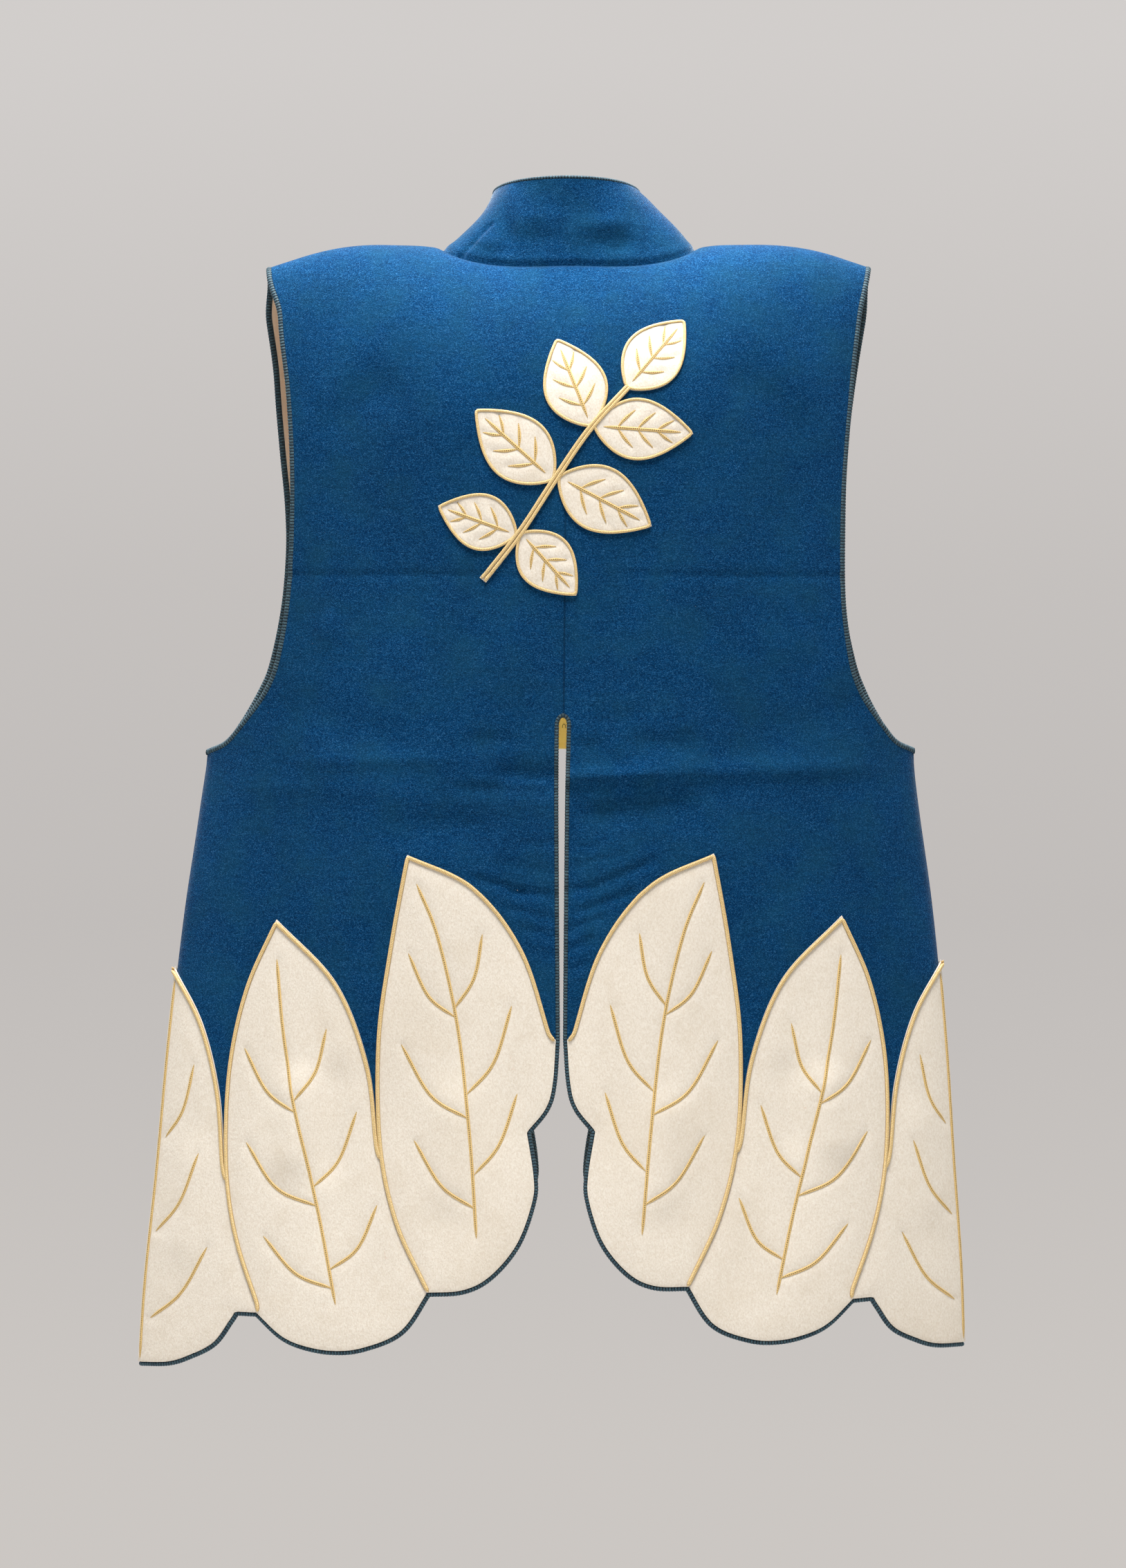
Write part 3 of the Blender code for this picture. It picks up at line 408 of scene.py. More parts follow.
# Points and polygons into a finished piece, turned so that its faces look out. Each group is points,
# a list of face arrays, and for each corner of those faces its place on the piece's own map.
def makePiece(name, groups, finish, node=None):
    points = np.vstack([group[0] for group in groups])
    corners, sizes, maps = [], [], []
    first = 0
    for places, faceSets, uvSets in groups:
        volume = 0.0
        for faces in faceSets:
            for i in range(1, faces.shape[1] - 1):
                a, b, c = places[faces[:, 0]], places[faces[:, i]], places[faces[:, i + 1]]
                volume += np.sum(a * np.cross(b, c))
        for faces, uvs in zip(faceSets, uvSets or [None] * len(faceSets)):
            order = slice(None, None, -1) if volume < 0 else slice(None)
            corners.append((faces[:, order] + first).ravel())
            sizes.append(np.full(len(faces), faces.shape[1]))
            if uvs is not None:
                maps.append(uvs[:, order].reshape(-1, 2))
        first += len(places)
    corners, sizes = np.concatenate(corners), np.concatenate(sizes)
    mesh = bpy.data.meshes.new(name)
    mesh.vertices.add(len(points))
    mesh.vertices.foreach_set("co", points.ravel())
    mesh.loops.add(len(corners))
    mesh.loops.foreach_set("vertex_index", corners)
    mesh.polygons.add(len(sizes))
    mesh.polygons.foreach_set("loop_start", np.concatenate([[0], np.cumsum(sizes)[:-1]]))
    if maps:
        mesh.uv_layers.new(name="alongAround").data.foreach_set("uv", np.concatenate(maps).ravel())
    mesh.update(calc_edges=True)
    mesh.validate()
    mesh.shade_smooth()
    mesh.set_sharp_from_angle(angle=sharpAngle)
    mesh.materials.append(finishes[finish])
    made = addObject(name, mesh)
    if node:
        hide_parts(node)
    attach(made, "root")
    return made


# A cloth wall: the net at two heights, closed round its rims
def wallGroup(top, bottom, faces):
    count = len(top)
    edges = np.vstack([faces[:, [0, 1]], faces[:, [1, 2]], faces[:, [2, 0]]])
    keys = edges[:, 0].astype(np.int64) * count + edges[:, 1]
    back = edges[:, 1].astype(np.int64) * count + edges[:, 0]
    rim = edges[~np.isin(keys, back)]
    walls = np.stack([rim[:, 1], rim[:, 0], rim[:, 0] + count, rim[:, 1] + count], axis=1)
    return np.vstack([top, bottom]), [faces, faces[:, ::-1] + count, walls], None


# The same over a net, between two heights over the creased cloth
def wallOver(net, faces, face, side, upper, lower):
    return wallGroup(place(net, face, side, upper)[0], place(net, face, side, lower)[0], faces)


tip = {"share": 0.06, "power": 0.6}


# A profile carried along a route. At each step the ring is the route plus its sideways direction by
# half width times cosine, plus the cloth's normal by half height times sine, both times the relief.
# An open one narrows to each end over the taper.
def sweepGroup(route, normals, halfWidth, halfHeight, relief, pitch, sides, closed, taper=0.001):
    if closed:
        ahead = np.roll(route, -1, axis=0) - np.roll(route, 1, axis=0)
    else:
        ahead = np.gradient(route, axis=0)
    ahead = unit(ahead)
    sideways = unit(np.cross(ahead, normals))
    up = np.cross(sideways, ahead)
    far = farAlong(route)
    turns = far / pitch
    if closed:
        whole = far[-1] + np.linalg.norm(route[0] - route[-1])
        turns = turns * round(whole / pitch) / (whole / pitch)
    v = np.arange(sides) / sides
    angle = 2 * math.pi * v - 0.5 * math.pi
    swell = relief(turns[:, None], v[None, :])
    if not closed:
        room = tip["share"] + np.minimum(far, far[-1] - far)[:, None] / taper
        swell = swell * np.clip(room, 0.0, 1.0) ** tip["power"]
    points = (route[:, None] + sideways[:, None] * (halfWidth * np.cos(angle) * swell)[..., None]
              + up[:, None] * (halfHeight * np.sin(angle) * swell)[..., None])
    rows = len(route)
    i = np.arange(rows if closed else rows - 1)[:, None]
    j = np.arange(sides)[None, :]
    nextI, nextJ = (i + 1) % rows, (j + 1) % sides
    quads = np.stack([i * sides + j, i * sides + nextJ, nextI * sides + nextJ, nextI * sides + j], axis=-1)
    allTurns = np.append(turns, turns[-1] + (turns[1] - turns[0]))
    along = np.stack([allTurns[i], allTurns[i], allTurns[i + 1], allTurns[i + 1]], axis=-1)
    around = np.stack([v[j], v[j] + 1 / sides, v[j] + 1 / sides, v[j]], axis=-1)
    uv = np.stack(np.broadcast_arrays(along, around), axis=-1)
    faces, uvs = [quads.reshape(-1, 4)], [uv.reshape(-1, 4, 2)]
    if not closed:
        for end in (0, rows - 1):
            ring = (end * sides + np.arange(sides))[None, :]
            faces.append(ring if end else ring[:, ::-1])
            uvs.append(np.broadcast_to([allTurns[end], 0.5], (1, sides, 2)).copy())
    return points.reshape(-1, 3), faces, uvs


# A route with its sharp turns eased, evenly spaced, and its normals carried along
def easedRoute(points, normals, spacing, ease, closed=False):
    both = evenly(np.hstack([points, normals * 0.001]), spacing, closed)
    width = max(int(round(ease / spacing)), 1)
    kernel = np.hanning(2 * width + 3)[1:-1]
    kernel /= kernel.sum()
    if closed:
        padded = np.vstack([both[-width:], both, both[:width]])
    else:
        steps = np.arange(width, 0, -1)
        padded = np.vstack([2 * both[0] - both[steps], both, 2 * both[-1] - both[-1 - steps[::-1]]])
    eased = np.stack([np.convolve(padded[:, axis], kernel, mode="valid") for axis in range(6)], axis=1)
    return eased[:, :3], unit(eased[:, 3:])


# A sum of shader values as one node, with its two sides the other way round if swapped
def operator(kind, swapped=False):
    def act(self, other=0.0):
        first, second = (other, self) if swapped else (self, other)
        return self.board.node("ShaderNodeMath", {"operation": kind}, {0: first, 1: second})[0]

    return act


# A shader value, so that sums on it read as sums
class Signal:
    def __init__(self, board, socket):
        self.board = board
        self.socket = socket

    __add__ = __radd__ = operator("ADD")
    __mul__ = __rmul__ = operator("MULTIPLY")
    __sub__, __rsub__ = operator("SUBTRACT"), operator("SUBTRACT", True)
    __gt__, __lt__ = operator("GREATER_THAN"), operator("LESS_THAN")
    __abs__, fraction = operator("ABSOLUTE"), operator("FRACT")

    # 1 at every whole turn, down to 0 half way to the next
    def saw(self):
        return abs(self.fraction() * 2 - 1)


# The nodes of a material or of the world
class Board:
    def __init__(self, owner, fixed=None):
        owner.use_nodes = True
        self.owner = owner
        self.tree = owner.node_tree
        self.shader = self.tree.nodes.get("Principled BSDF")
        for socket, value in (fixed or {}).items():
            self.shader.inputs[socket].default_value = value
        self.coords = self.node("ShaderNodeTexCoord", {}, {})
        self.place = self.coords[3]

    def node(self, kind, settings, values):
        made = self.tree.nodes.new(kind)
        for key, value in settings.items():
            if key == "stops":
                stops = made.color_ramp.elements
                for index, (at, colour) in enumerate(value):
                    stop = stops[index] if index < len(stops) else stops.new(at)
                    stop.position = at
                    stop.color = (*colour, 1.0)
            else:
                setattr(made, key, value)
        for key, value in values.items():
            if isinstance(value, Signal):
                self.tree.links.new(value.socket, made.inputs[key])
            else:
                made.inputs[key].default_value = value
        return [Signal(self, socket) for socket in made.outputs]

    def split(self, vector):
        return self.node("ShaderNodeSeparateXYZ", {}, {0: vector})

    # Along the piece's own map, and how far round it is from its middle line, 0 to 1
    def strand(self):
        along, around, _ = self.split(self.coords[2])
        return along, abs(around * 2 - 1)

    def noise(self, size, detail=2.0, stretch=(1, 1, 1), rough=0.5, distortion=0.0):
        point = self.node("ShaderNodeMapping", {}, {0: self.place, 3: stretch})[0]
        return self.node("ShaderNodeTexNoise", {}, {"Vector": point, "Scale": 1 / size, "Detail": detail,
                                                    "Roughness": rough, "Distortion": distortion})[0]

    # From one grey to another as the value goes from low to high
    def ramp(self, value, low, high, start=0.0, end=1.0):
        stops = [(low, (start,) * 3), (high, (end,) * 3)]
        return self.node("ShaderNodeValToRGB", {"stops": stops}, {0: value})[0]

    def mix(self, share, first, second, blend="MIX"):
        first, second = [value if isinstance(value, Signal) else (*value, 1.0) for value in (first, second)]
        return self.node("ShaderNodeMix", {"data_type": "RGBA", "blend_type": blend},
                         {0: share, 6: first, 7: second})[2]

    # How near a place is, 1 in its middle and 0 past its size
    def spot(self, x, y, z, size):
        apart = self.node("ShaderNodeVectorMath", {"operation": "DISTANCE"},
                          {0: self.place, 1: (x, y, z)})[1]
        return self.node("ShaderNodeMapRange", {"interpolation_type": "SMOOTHSTEP"},
                         {0: apart, 1: 0.0, 2: size, 3: 1.0, 4: 0.0})[0]

    # The colour and the raised grain into the shader
    def finish(self, colour, relief, distance, strength):
        values = {"Strength": strength, "Distance": distance, "Height": relief}
        normal = self.node("ShaderNodeBump", {}, values)[0]
        self.tree.links.new(colour.socket, self.shader.inputs["Base Color"])
        self.tree.links.new(normal.socket, self.shader.inputs["Normal"])
        return self.owner


# A new material's board, with the settings that stay the same all over it
def newBoard(name, rough, specular, **fixed):
    sockets = {"sheen": "Sheen Weight", "sheenRough": "Sheen Roughness", "sheenTint": "Sheen Tint",
               "glow": "Subsurface Weight", "glowRadius": "Subsurface Radius",
               "glowScale": "Subsurface Scale"}
    values = {sockets[key]: value for key, value in fixed.items()}
    values.update({"Roughness": rough, "Specular IOR Level": specular})
    return Board(bpy.data.materials.new(name), values)


wool = {
    "deep": (0.0006, 0.022, 0.073), "mid": (0.0022, 0.057, 0.165), "light": (0.042, 0.147, 0.298),
    "teal": (0.0075, 0.060, 0.110), "lint": (0.30, 0.36, 0.38), "stain": (0.16, 0.15, 0.09),
    "napSize": 0.00085, "lintSize": 0.012, "seamX": 0.0018, "seamLean": 0.0082,
    # x, y, z, size
    "spots": metres([(-19, -88, -404, 3), (16, -89, -402, 2.2)])}


def makeWool():
    board = newBoard("blueWool", 0.95, 0.05, sheen=0.45, sheenRough=0.28, sheenTint=(0.85, 0.95, 1.0, 1.0))
    nap = board.noise(wool["napSize"], 2.0, (0.72, 0.85, 1.0), 0.58, 0.8)
    fine = board.noise(wool["napSize"] * 0.5, 1.5, (0.7, 0.9, 1.0), 0.6, 0.5)
    speck = board.ramp(nap * 0.6 + fine * 0.4, 0.42, 0.58)
    colour = board.mix(speck, wool["deep"], wool["mid"])
    bright = board.ramp(nap * 0.45 + fine * 0.55, 0.54, 0.66)
    colour = board.mix(bright * 0.85, colour, wool["light"])
    clump = board.ramp(board.noise(0.030, 3.0), 0.42, 0.72, 0.0, 0.40)
    colour = board.mix(clump, colour, wool["teal"])
    rows = board.ramp(board.noise(0.0022, 2.0, (0.16, 0.16, 1.0)), 0.30, 0.70, 0.90, 1.10)
    shade = board.ramp(board.noise(0.085, 2.5), 0.30, 0.70, 0.90, 1.08) * rows
    # The centre back seam is a dark thread line above the slit, which leans with the cloth
    x, y, z = board.split(board.place)
    apart = abs(x - z * wool["seamLean"] - wool["seamX"])
    seam = board.ramp(apart * 100.0, 0.03, 0.11, 1.0, 0.0)
    behind = (z > form["slitTopZ"] - 0.002) * (z < form["neckBackZ"] + 0.002) * (y < 0.0)
    worn = board.ramp(nap, 0.40, 0.60, 0.15, 0.60) * board.ramp(z * -1, 0.12, 0.22, 0.10, 1.0)
    shade = shade * (1 - seam * behind * worn)
    colour = board.mix(1.0, colour, shade, "MULTIPLY")
    lint = board.node("ShaderNodeTexVoronoi", {}, {"Vector": board.place, "Scale": 1 / wool["lintSize"]})[0]
    dots = board.ramp(lint, 0.0, 0.035, 1.0, 0.0)
    dots = dots * board.ramp(board.noise(0.05), 0.55, 0.62)
    colour = board.mix(dots * 0.6, colour, wool["lint"])
    for stain in wool["spots"]:
        colour = board.mix(board.spot(*stain) * 0.55, colour, wool["stain"])
    return board.finish(colour, nap * 0.6 + fine * 0.3, 0.0011, 0.55)


felt = {"base": (0.715, 0.640, 0.535), "pale": (0.820, 0.765, 0.675), "stain": (0.600, 0.505, 0.375),
        "fibre": (0.62, 0.36, 0.22)}


def makeFelt():
    board = newBoard("creamFelt", 0.96, 0.12, sheen=0.10, sheenRough=0.5, sheenTint=(1.0, 0.95, 0.85, 1.0))
    nap = board.noise(0.0012, 2.5, (1.0, 1.0, 0.7), 0.6, 0.6)
    cloud = board.noise(0.022, 3.0)
    fibre = board.noise(0.0045, 3.0, (1.0, 1.0, 0.35), 0.65, 1.2)
    colour = board.mix(board.ramp(nap, 0.35, 0.65), felt["base"], felt["pale"])
    colour = board.mix(board.ramp(cloud, 0.54, 0.80, 0.0, 0.26), colour, felt["stain"])
    colour = board.mix(board.ramp(board.noise(0.11), 0.50, 0.72, 0.0, 0.16), colour, felt["stain"])
    colour = board.mix(board.ramp(fibre, 0.70, 0.82, 0.0, 0.35), colour, felt["fibre"])
    return board.finish(colour, nap * 0.6 + cloud * 0.5, 0.0010, 0.45)


# Base, light and stained colour of the lining, and of the strip behind the front opening
silk = {"lining": ((0.780, 0.600, 0.440), (0.880, 0.740, 0.590), (0.660, 0.460, 0.300)),
        "strip": ((0.500, 0.410, 0.265), (0.580, 0.490, 0.335), (0.430, 0.340, 0.210)),
        "threadSize": 0.0007}


def makeSilk(name, kind, glow):
    base, light, stain = silk[kind]
    board = newBoard(name, 0.55, 0.35, sheen=0.15, sheenRough=0.35, sheenTint=(1.0, 0.85, 0.5, 1.0),
                     glow=glow, glowRadius=(1.0, 0.8, 0.4), glowScale=0.006)
    across = board.noise(silk["threadSize"], 1.0, (1.0, 1.0, 0.08))
    weave = across * 0.5 + board.noise(silk["threadSize"], 1.0, (0.08, 0.08, 1.0)) * 0.5
    colour = board.mix(weave, base, light)
    colour = board.mix(board.ramp(board.noise(0.05, 3.0), 0.45, 0.75, 0.0, 0.35), colour, stain)
    return board.finish(colour, weave, 0.0003, 0.5)


# The section of a plain cord, of a pair of strands with a valley between them, and of ribs, one a stitch
def evenRelief(turns, v):
    return np.ones_like(turns + v)


def pairRelief(turns, v):
    return np.ones_like(turns) - 0.45 * np.exp(-((2 * v - 1) / 0.16) ** 2)


def ribRelief(turns, v):
    return 0.80 + 0.24 * np.abs(np.sin(math.pi * (turns + 0.12 * np.cos(2 * math.pi * v)))) ** 0.7


cord = {"pitch": 0.00125, "halfWidth": 0.0016, "halfHeight": 0.0012, "sides": 10, "taper": 0.002,
        "ease": 0.002,
        # The deep colour is painted shade, for the braid's grooves, middle line and sides and for the veins'
        # valley and sides
        "deep": (0.300, 0.170, 0.045), "gold": (0.720, 0.480, 0.170), "pale": (0.950, 0.760, 0.420)}


def makeCord():
    board = newBoard("goldBraid", 0.50, 0.40)
    along, lean = board.strand()
    # The chevron grooves and the middle line of the plain round cord are painted darker: painted shade in a
    # braid's grooves
    groove = board.ramp((along - lean * 1.5 + 40.0).saw(), 0.50, 0.95)
    fibre = board.noise(0.0005, 1.5)
    colour = board.mix(board.ramp(fibre, 0.35, 0.65), cord["gold"], cord["pale"])
    colour = board.mix(groove * 0.60, colour, cord["deep"])
    colour = board.mix(board.ramp(lean, 0.01, 0.09, 1.0, 0.0) * 0.35, colour, cord["deep"])
    # The cord's sides are painted darker: painted shade where the round cord turns away from the light
    colour = board.mix(board.ramp(lean, 0.30, 0.48) * 0.75, colour, cord["deep"])
    return board.finish(colour, (1 - groove) * 0.8 + fibre * 0.2, 0.0003, 0.7)


vein = {"pitch": 0.0016, "halfWidth": 0.0013, "halfHeight": 0.0008, "sides": 8, "taper": 0.009,
        "ease": 0.002,
        # The hole colour is painted shade in the stitch holes
        "gold": (0.690, 0.450, 0.150), "pale": (0.860, 0.640, 0.290), "hole": (0.070, 0.038, 0.010)}


def makeVein():
    board = newBoard("goldVein", 0.50, 0.40)
    along, lean = board.strand()
    # The valley between the two strands, the stitch holes and the sides are painted darker: painted shade
    middle = board.ramp(lean, 0.05, 0.15, 1.0, 0.0)
    holeShade = middle * board.ramp((along + 20.0).saw(), 0.42, 0.60)
    fibre = board.noise(0.0005, 1.5)
    colour = board.mix(board.ramp(fibre, 0.35, 0.65), vein["gold"], vein["pale"])
    colour = board.mix(board.ramp(lean, 0.30, 0.46) * 0.50, colour, cord["deep"])
    colour = board.mix(middle * 0.30, colour, cord["deep"])
    colour = board.mix(holeShade * 0.95, colour, vein["hole"])
    return board.finish(colour, fibre - holeShade, 0.0003, 0.6)


# Half widths of the edging, and how far the cloth reaches past the plain line of the cut into it
edging = {"lap": 0.0003, "pitch": 0.0023, "hemHalf": 0.0018, "armholeHalf": 0.0024, "collarHalf": 0.0015,
          "halfHeight": 0.0019, "hemGrow": 0.0016, "armholeGrow": 0.0010, "collarGrow": 0.0022, "sides": 8,
          # The groove colour is painted shade between the wraps and between their strands
          "steps": 4, "depth": -0.0011, "groove": (0.0030, 0.0080, 0.014), "navy": (0.022, 0.058, 0.086),
          "worn": (0.095, 0.185, 0.220), "darkSpot": (0.001, -0.088, -0.3400, 0.014), "routeStep": 0.0012,
          "ease": 0.0016, "sample": 0.02, "slitStart": -0.0012}


def makeEdging():
    board = newBoard("navyEdging", 0.70, 0.3, sheen=0.12, sheenRough=0.4, sheenTint=(0.6, 0.8, 1.0, 1.0))
    along, _ = board.strand()
    # The grooves between the wraps and the lines between their strands are painted dark: painted shade. A
    # spot round the top of the slit is painted darker too.
    groove = board.ramp((along + 40.0).saw(), 0.42, 0.84)
    strand = board.ramp((along * 4 + 40.0).saw(), 0.35, 0.90)
    thread = board.noise(0.0005, 1.5)
    worn = board.ramp(board.noise(0.0030), 0.38, 0.66, 0.15, 1.0)
    colour = board.mix(worn * board.ramp(thread, 0.40, 0.62, 0.2, 1.0), edging["navy"], edging["worn"])
    for share in (strand * 0.45, groove * 0.92, board.spot(*edging["darkSpot"]) * 0.70):
        colour = board.mix(share, colour, edging["groove"])
    return board.finish(colour, (1 - groove) * 0.6 + thread * 0.4 - strand * 0.3, 0.0005, 0.7)


finishes = {"wool": makeWool(), "felt": makeFelt(), "lining": makeSilk("paleLining", "lining", 0.0),
            "flap": makeSilk("goldStrip", "strip", 1.0), "cord": makeCord(), "edging": makeEdging(),
            "vein": makeVein()}
print("finishes made")


# Runs of an edge moved out by a little, so that the cloth reaches into its edging. Corners stay corners.
def growRuns(runs, names, amount):
    line = np.vstack([runs[names[0]]] + [runs[name][1:] for name in names[1:]])
    moved = offsetLine(line, -amount, False)
    moved[:, 0] = np.maximum(moved[:, 0], 0.0)
    clear = distanceTo(moved, line, closed=False) > form["clearShare"] * amount
    first = 0
    for name in names:
        last = first + len(runs[name]) - 1
        kept = clear[first:last + 1].copy()
        kept[[0, -1]] = True
        runs[name] = moved[first:last + 1][kept]
        first = last


# One quarter's edges in the flat drawing: neck, shoulder, armhole, side, hem lobes, middle edge and seam
def drawRuns(face, side):
    back = face == "back"
    neckX, neckZ = (0.0, form["neckBackZ"]) if back else (form["frontEdgeX"], form["neckFrontZ"])
    depth = drawFlat([(0.0, neckZ)])[0, 1]
    turn = np.linspace(0.0, 0.5 * math.pi, 60)
    neck = np.stack([form["neckHalfWidth"] * np.sin(turn) ** (2 / form["neckPower"]),
                     depth * np.cos(turn) ** (2 / form["neckPower"])], axis=1)
    neck = np.vstack([[neckX, depth], neck[neck[:, 0] > neckX + form["neckClear"]]])
    neck[-1, 1] = 0.0
    armhole = curveThrough(cut["armhole"])
    start, fade, fadeLow = form["shiftFades"]
    rise = softStep((-armhole[:, 1] - start) / fade) * softStep((armhole[:, 1] - form["armpitZ"]) / fadeLow)
    shifts = form["armholeShift"][face + ("_left" if side < 0 else "_right")]
    armhole[:, 0] += softTable(shifts, 1, armhole[:, 1]) * rise
    armhole = drawFlat(armhole)
    sideZ = np.linspace(form["armpitZ"], cut["outerLobe"][0][1], 60)
    sideRun = drawFlat(np.stack([softTable(form["side"], 1, sideZ) * form["sideCorner"], sideZ], axis=1))
    armhole[-1] = sideRun[0]
    runs = {name: leafLine(face, cut[name]) for name in hemNames[:-1]}
    runs["outerLobe"][0] = sideRun[-1]
    runs["armhole"] = armhole
    start, end = runs["upperLobe"][-1], neck[0]
    runs["middle"] = np.array([start, end])
    if back:
        turn = np.linspace(0.0, 0.5 * math.pi, 14)
        arch = drawFlat(np.stack([form["slitEdgeX"] * np.cos(turn),
                                  form["slitTopZ"] - form["slitArch"] * (1 - np.sin(turn))], axis=1))
        runs["middle"] = np.vstack([start, arch, end])
    growRuns(runs, hemNames, edging["hemGrow"])
    growRuns(runs, ["armhole"], edging["armholeGrow"])
    runs["armhole"][0, 1] = 0.0
    runs["middle"][-1, 1] = depth
    if back:
        apex = drawFlat([(0.0, form["slitTopZ"])])[0] + [0.0, edging["hemGrow"]]
        below = runs["middle"][:, 1] > apex[1] + form["apexClear"]
        runs["middle"] = np.vstack([runs["middle"][below], apex])
    sideRun[0], sideRun[-1] = runs["armhole"][-1], runs["outerLobe"][0]
    made = {"neck": neck, "shoulder": np.array([neck[-1], runs["armhole"][0]]), "armhole": runs["armhole"],
            "side": sideRun, **{name: runs[name] for name in hemNames}}
    if back:
        made["seam"] = np.array([runs["middle"][-1], neck[0]])
    return made


# A cut line in the flat drawing. The front hem hangs a little shorter, but for its corner.
def leafLine(face, places):
    points = curveThrough(places)
    if face == "front":
        points[:, 1] += form["frontHemRise"] * (1 - (points[:, 0] / cut["outerLobe"][0][0]) ** 4)
        points[:, 0] = np.maximum(points[:, 0], form["frontEdgeX"])
    return drawFlat(points)


# How far the cloth dips where it is sewn: a bell with its own depth and half width beside each seam
def seamDip(drawing, runs):
    dip = np.zeros(len(drawing))
    for name, (deep, wide) in panel["seams"].items():
        if name in runs:
            away = distanceTo(drawing, runs[name], closed=False)
            dip = np.maximum(dip, deep * np.exp(-(away / wide) ** 2))
    return dip


# The cut of a sheet before it is hung: its width along the body, its length down it, and its flat area
def cutOf(net, triangles, face):
    low, high = net.min(axis=0), net.max(axis=0)
    wide = 0.0
    for level in np.linspace(low[1], high[1], 9):
        line = onBody(np.stack([np.linspace(low[0], high[0], 80), np.full(80, level)], axis=1), face)
        wide = max(wide, farAlong(line)[-1])
    return (float(wide), float(high[1] - low[1])), areaOf(onBody(net, face), triangles)


panel = {"backSpacing": 0.0042, "frontSpacing": 0.0060, "liningSpacing": 0.0100, "liningRow": 0.004,
         "edgeStep": 0.0036, "rows": (0.0014, 0.0036), "fineX": (0.0100, 0.082), "fineZ": (-0.545, -0.352),
         "fineSpacing": 0.0023, "foldWidth": 0.002, "foldRows": (-0.0016, 0.0, 0.0030),
         "foldStep": 0.003,
         # Depth and half width of the dip beside each seam
         "seams": {"neck": (0.0019, 0.0034), "shoulder": (0.0007, 0.0026), "side": (0.0012, 0.0024),
                   "seam": (0.0007, 0.0022)}}


# Places the back's net follows: the fold line across it, and a fine lattice where creases gather by the slit
def backDetail(side):
    lines = []
    for x0, z0, x1, z1, above, _, _ in creases["back"]:
        if above < panel["foldWidth"] and x0 * side > 0:
            fold = drawFlat(evenly(np.array([[abs(x0), z0], [abs(x1), z1]]), panel["foldStep"]))
            lines += [fold + [0.0, shift] for shift in panel["foldRows"]]
    columns = np.arange(*panel["fineX"], panel["fineSpacing"])
    levels = np.arange(*panel["fineZ"], lattice["level"] * panel["fineSpacing"])
    return lines + [drawFlat(stagger(columns, levels, panel["fineSpacing"]))]


runsOf = {}
for face in ("back", "front"):
    for side, word in ((-1, "left"), (1, "right")):
        name = face + "_" + word
        runs = runsOf[name] = drawRuns(face, side)
        outline = np.vstack([evenly(run, panel["edgeStep"])[:-1] for run in runs.values()])
        detail = backDetail(side) if face == "back" else []
        net, triangles = netOver([outline], panel[face + "Spacing"], panel["rows"], detail)
        wall = wallOver(net, triangles, face, side, -seamDip(net, runs), -form["woolThick"])
        piece = makePiece("cloth_" + name, [wall], "wool", name)
        flat, area = cutOf(net, triangles, face)
        net, triangles = netOver([outline], panel["liningSpacing"], (panel["liningRow"],))
        under = -form["woolThick"] - form["gap"]
        wall = wallOver(net, triangles, face, side, under, under - form["liningThick"])
        piece = makePiece("silk_" + name, [wall], "lining", "lining_" + name)
print("cloth and lining made")


# Three broad leaves on each quarter stand on the lobes of its hem and lap over each other. Their shapes,
# and the routes of the cords along their free edges.
def leafShapes(face, runs):
    lap = np.array([form["gap"] + leaf["lapClear"], 0.0])
    innerSide, innerBack, middleSide, middleBack, outerBack = [
        leafLine(face, cut[name]) for name in
        ("innerLeafOutside", "innerLeafInside", "middleLeafOutside", "middleLeafInside", "outerLeafInside")]
    shared = 2 * curveSteps + 1
    sideRun = runs["side"]
    innerSide[0], middleSide[0] = runs["innerLobe"][0], runs["middleLobe"][0]
    innerBack[-1] = runs["upperLobe"][-1]
    sideTop = np.array([[np.interp(outerBack[-1, 1], sideRun[:, 1], sideRun[:, 0]), outerBack[-1, 1]]])
    below = sideRun[sideRun[:, 1] > sideTop[0, 1] + leaf["cornerClear"]]
    outerBack[-1] = sideTop[0]
    shapes = {
        "inner": np.vstack([runs["innerLobe"], runs["upperLobe"][1:-1], innerBack[::-1],
                            innerSide[::-1][1:-1]]),
        "middle": np.vstack([runs["middleLobe"], innerSide[1:shared] + lap, middleBack[1:],
                             middleSide[::-1][1:-1]]),
        "outer": np.vstack([sideTop, below, runs["outerLobe"][1:], runs["notchTop"][1:],
                            middleSide[1:shared] + lap, outerBack[1:-1]])}
    tuck = np.array(leaf["tuck"])
    routes = {
        "inner": np.vstack([innerBack[::-1], innerSide[::-1][1:]]),
        "middle": np.vstack([middleBack[0] + tuck, middleBack, middleSide[::-1][1:]]),
        "outer": np.vstack([outerBack[0] + tuck, outerBack])}
    return shapes, routes


# Stitched veins of the leaves, places x, z on the right half
veins = metres({
    "inner": [[(62, -738), (68, -660), (77, -580), (92, -512), (108, -472)],
        [(64, -690), (46, -668), (33, -630)], [(70, -630), (50, -606), (37, -564)],
        [(80, -566), (65, -543), (59, -510)], [(63, -716), (88, -698), (109, -664)],
        [(69, -648), (97, -630), (119, -592)], [(79, -572), (99, -556), (114, -524)]],
    "middle": [[(166, -786), (178, -725), (194, -655), (206, -590), (212.5, -528)],
        [(171, -760), (150, -744), (136, -712)], [(184, -698), (165, -678), (152, -642)],
        [(198, -634), (183, -612), (175, -580)], [(168, -774), (196, -762), (220, -734)],
        [(181, -712), (211, -698), (234, -664)], [(197, -642), (219, -626), (236, -594)]],
    "outer": [[(304, -795), (281, -776), (262, -742)], [(301, -730), (282, -708), (269, -672)],
        [(295, -660), (282, -640), (274, -606)]]})
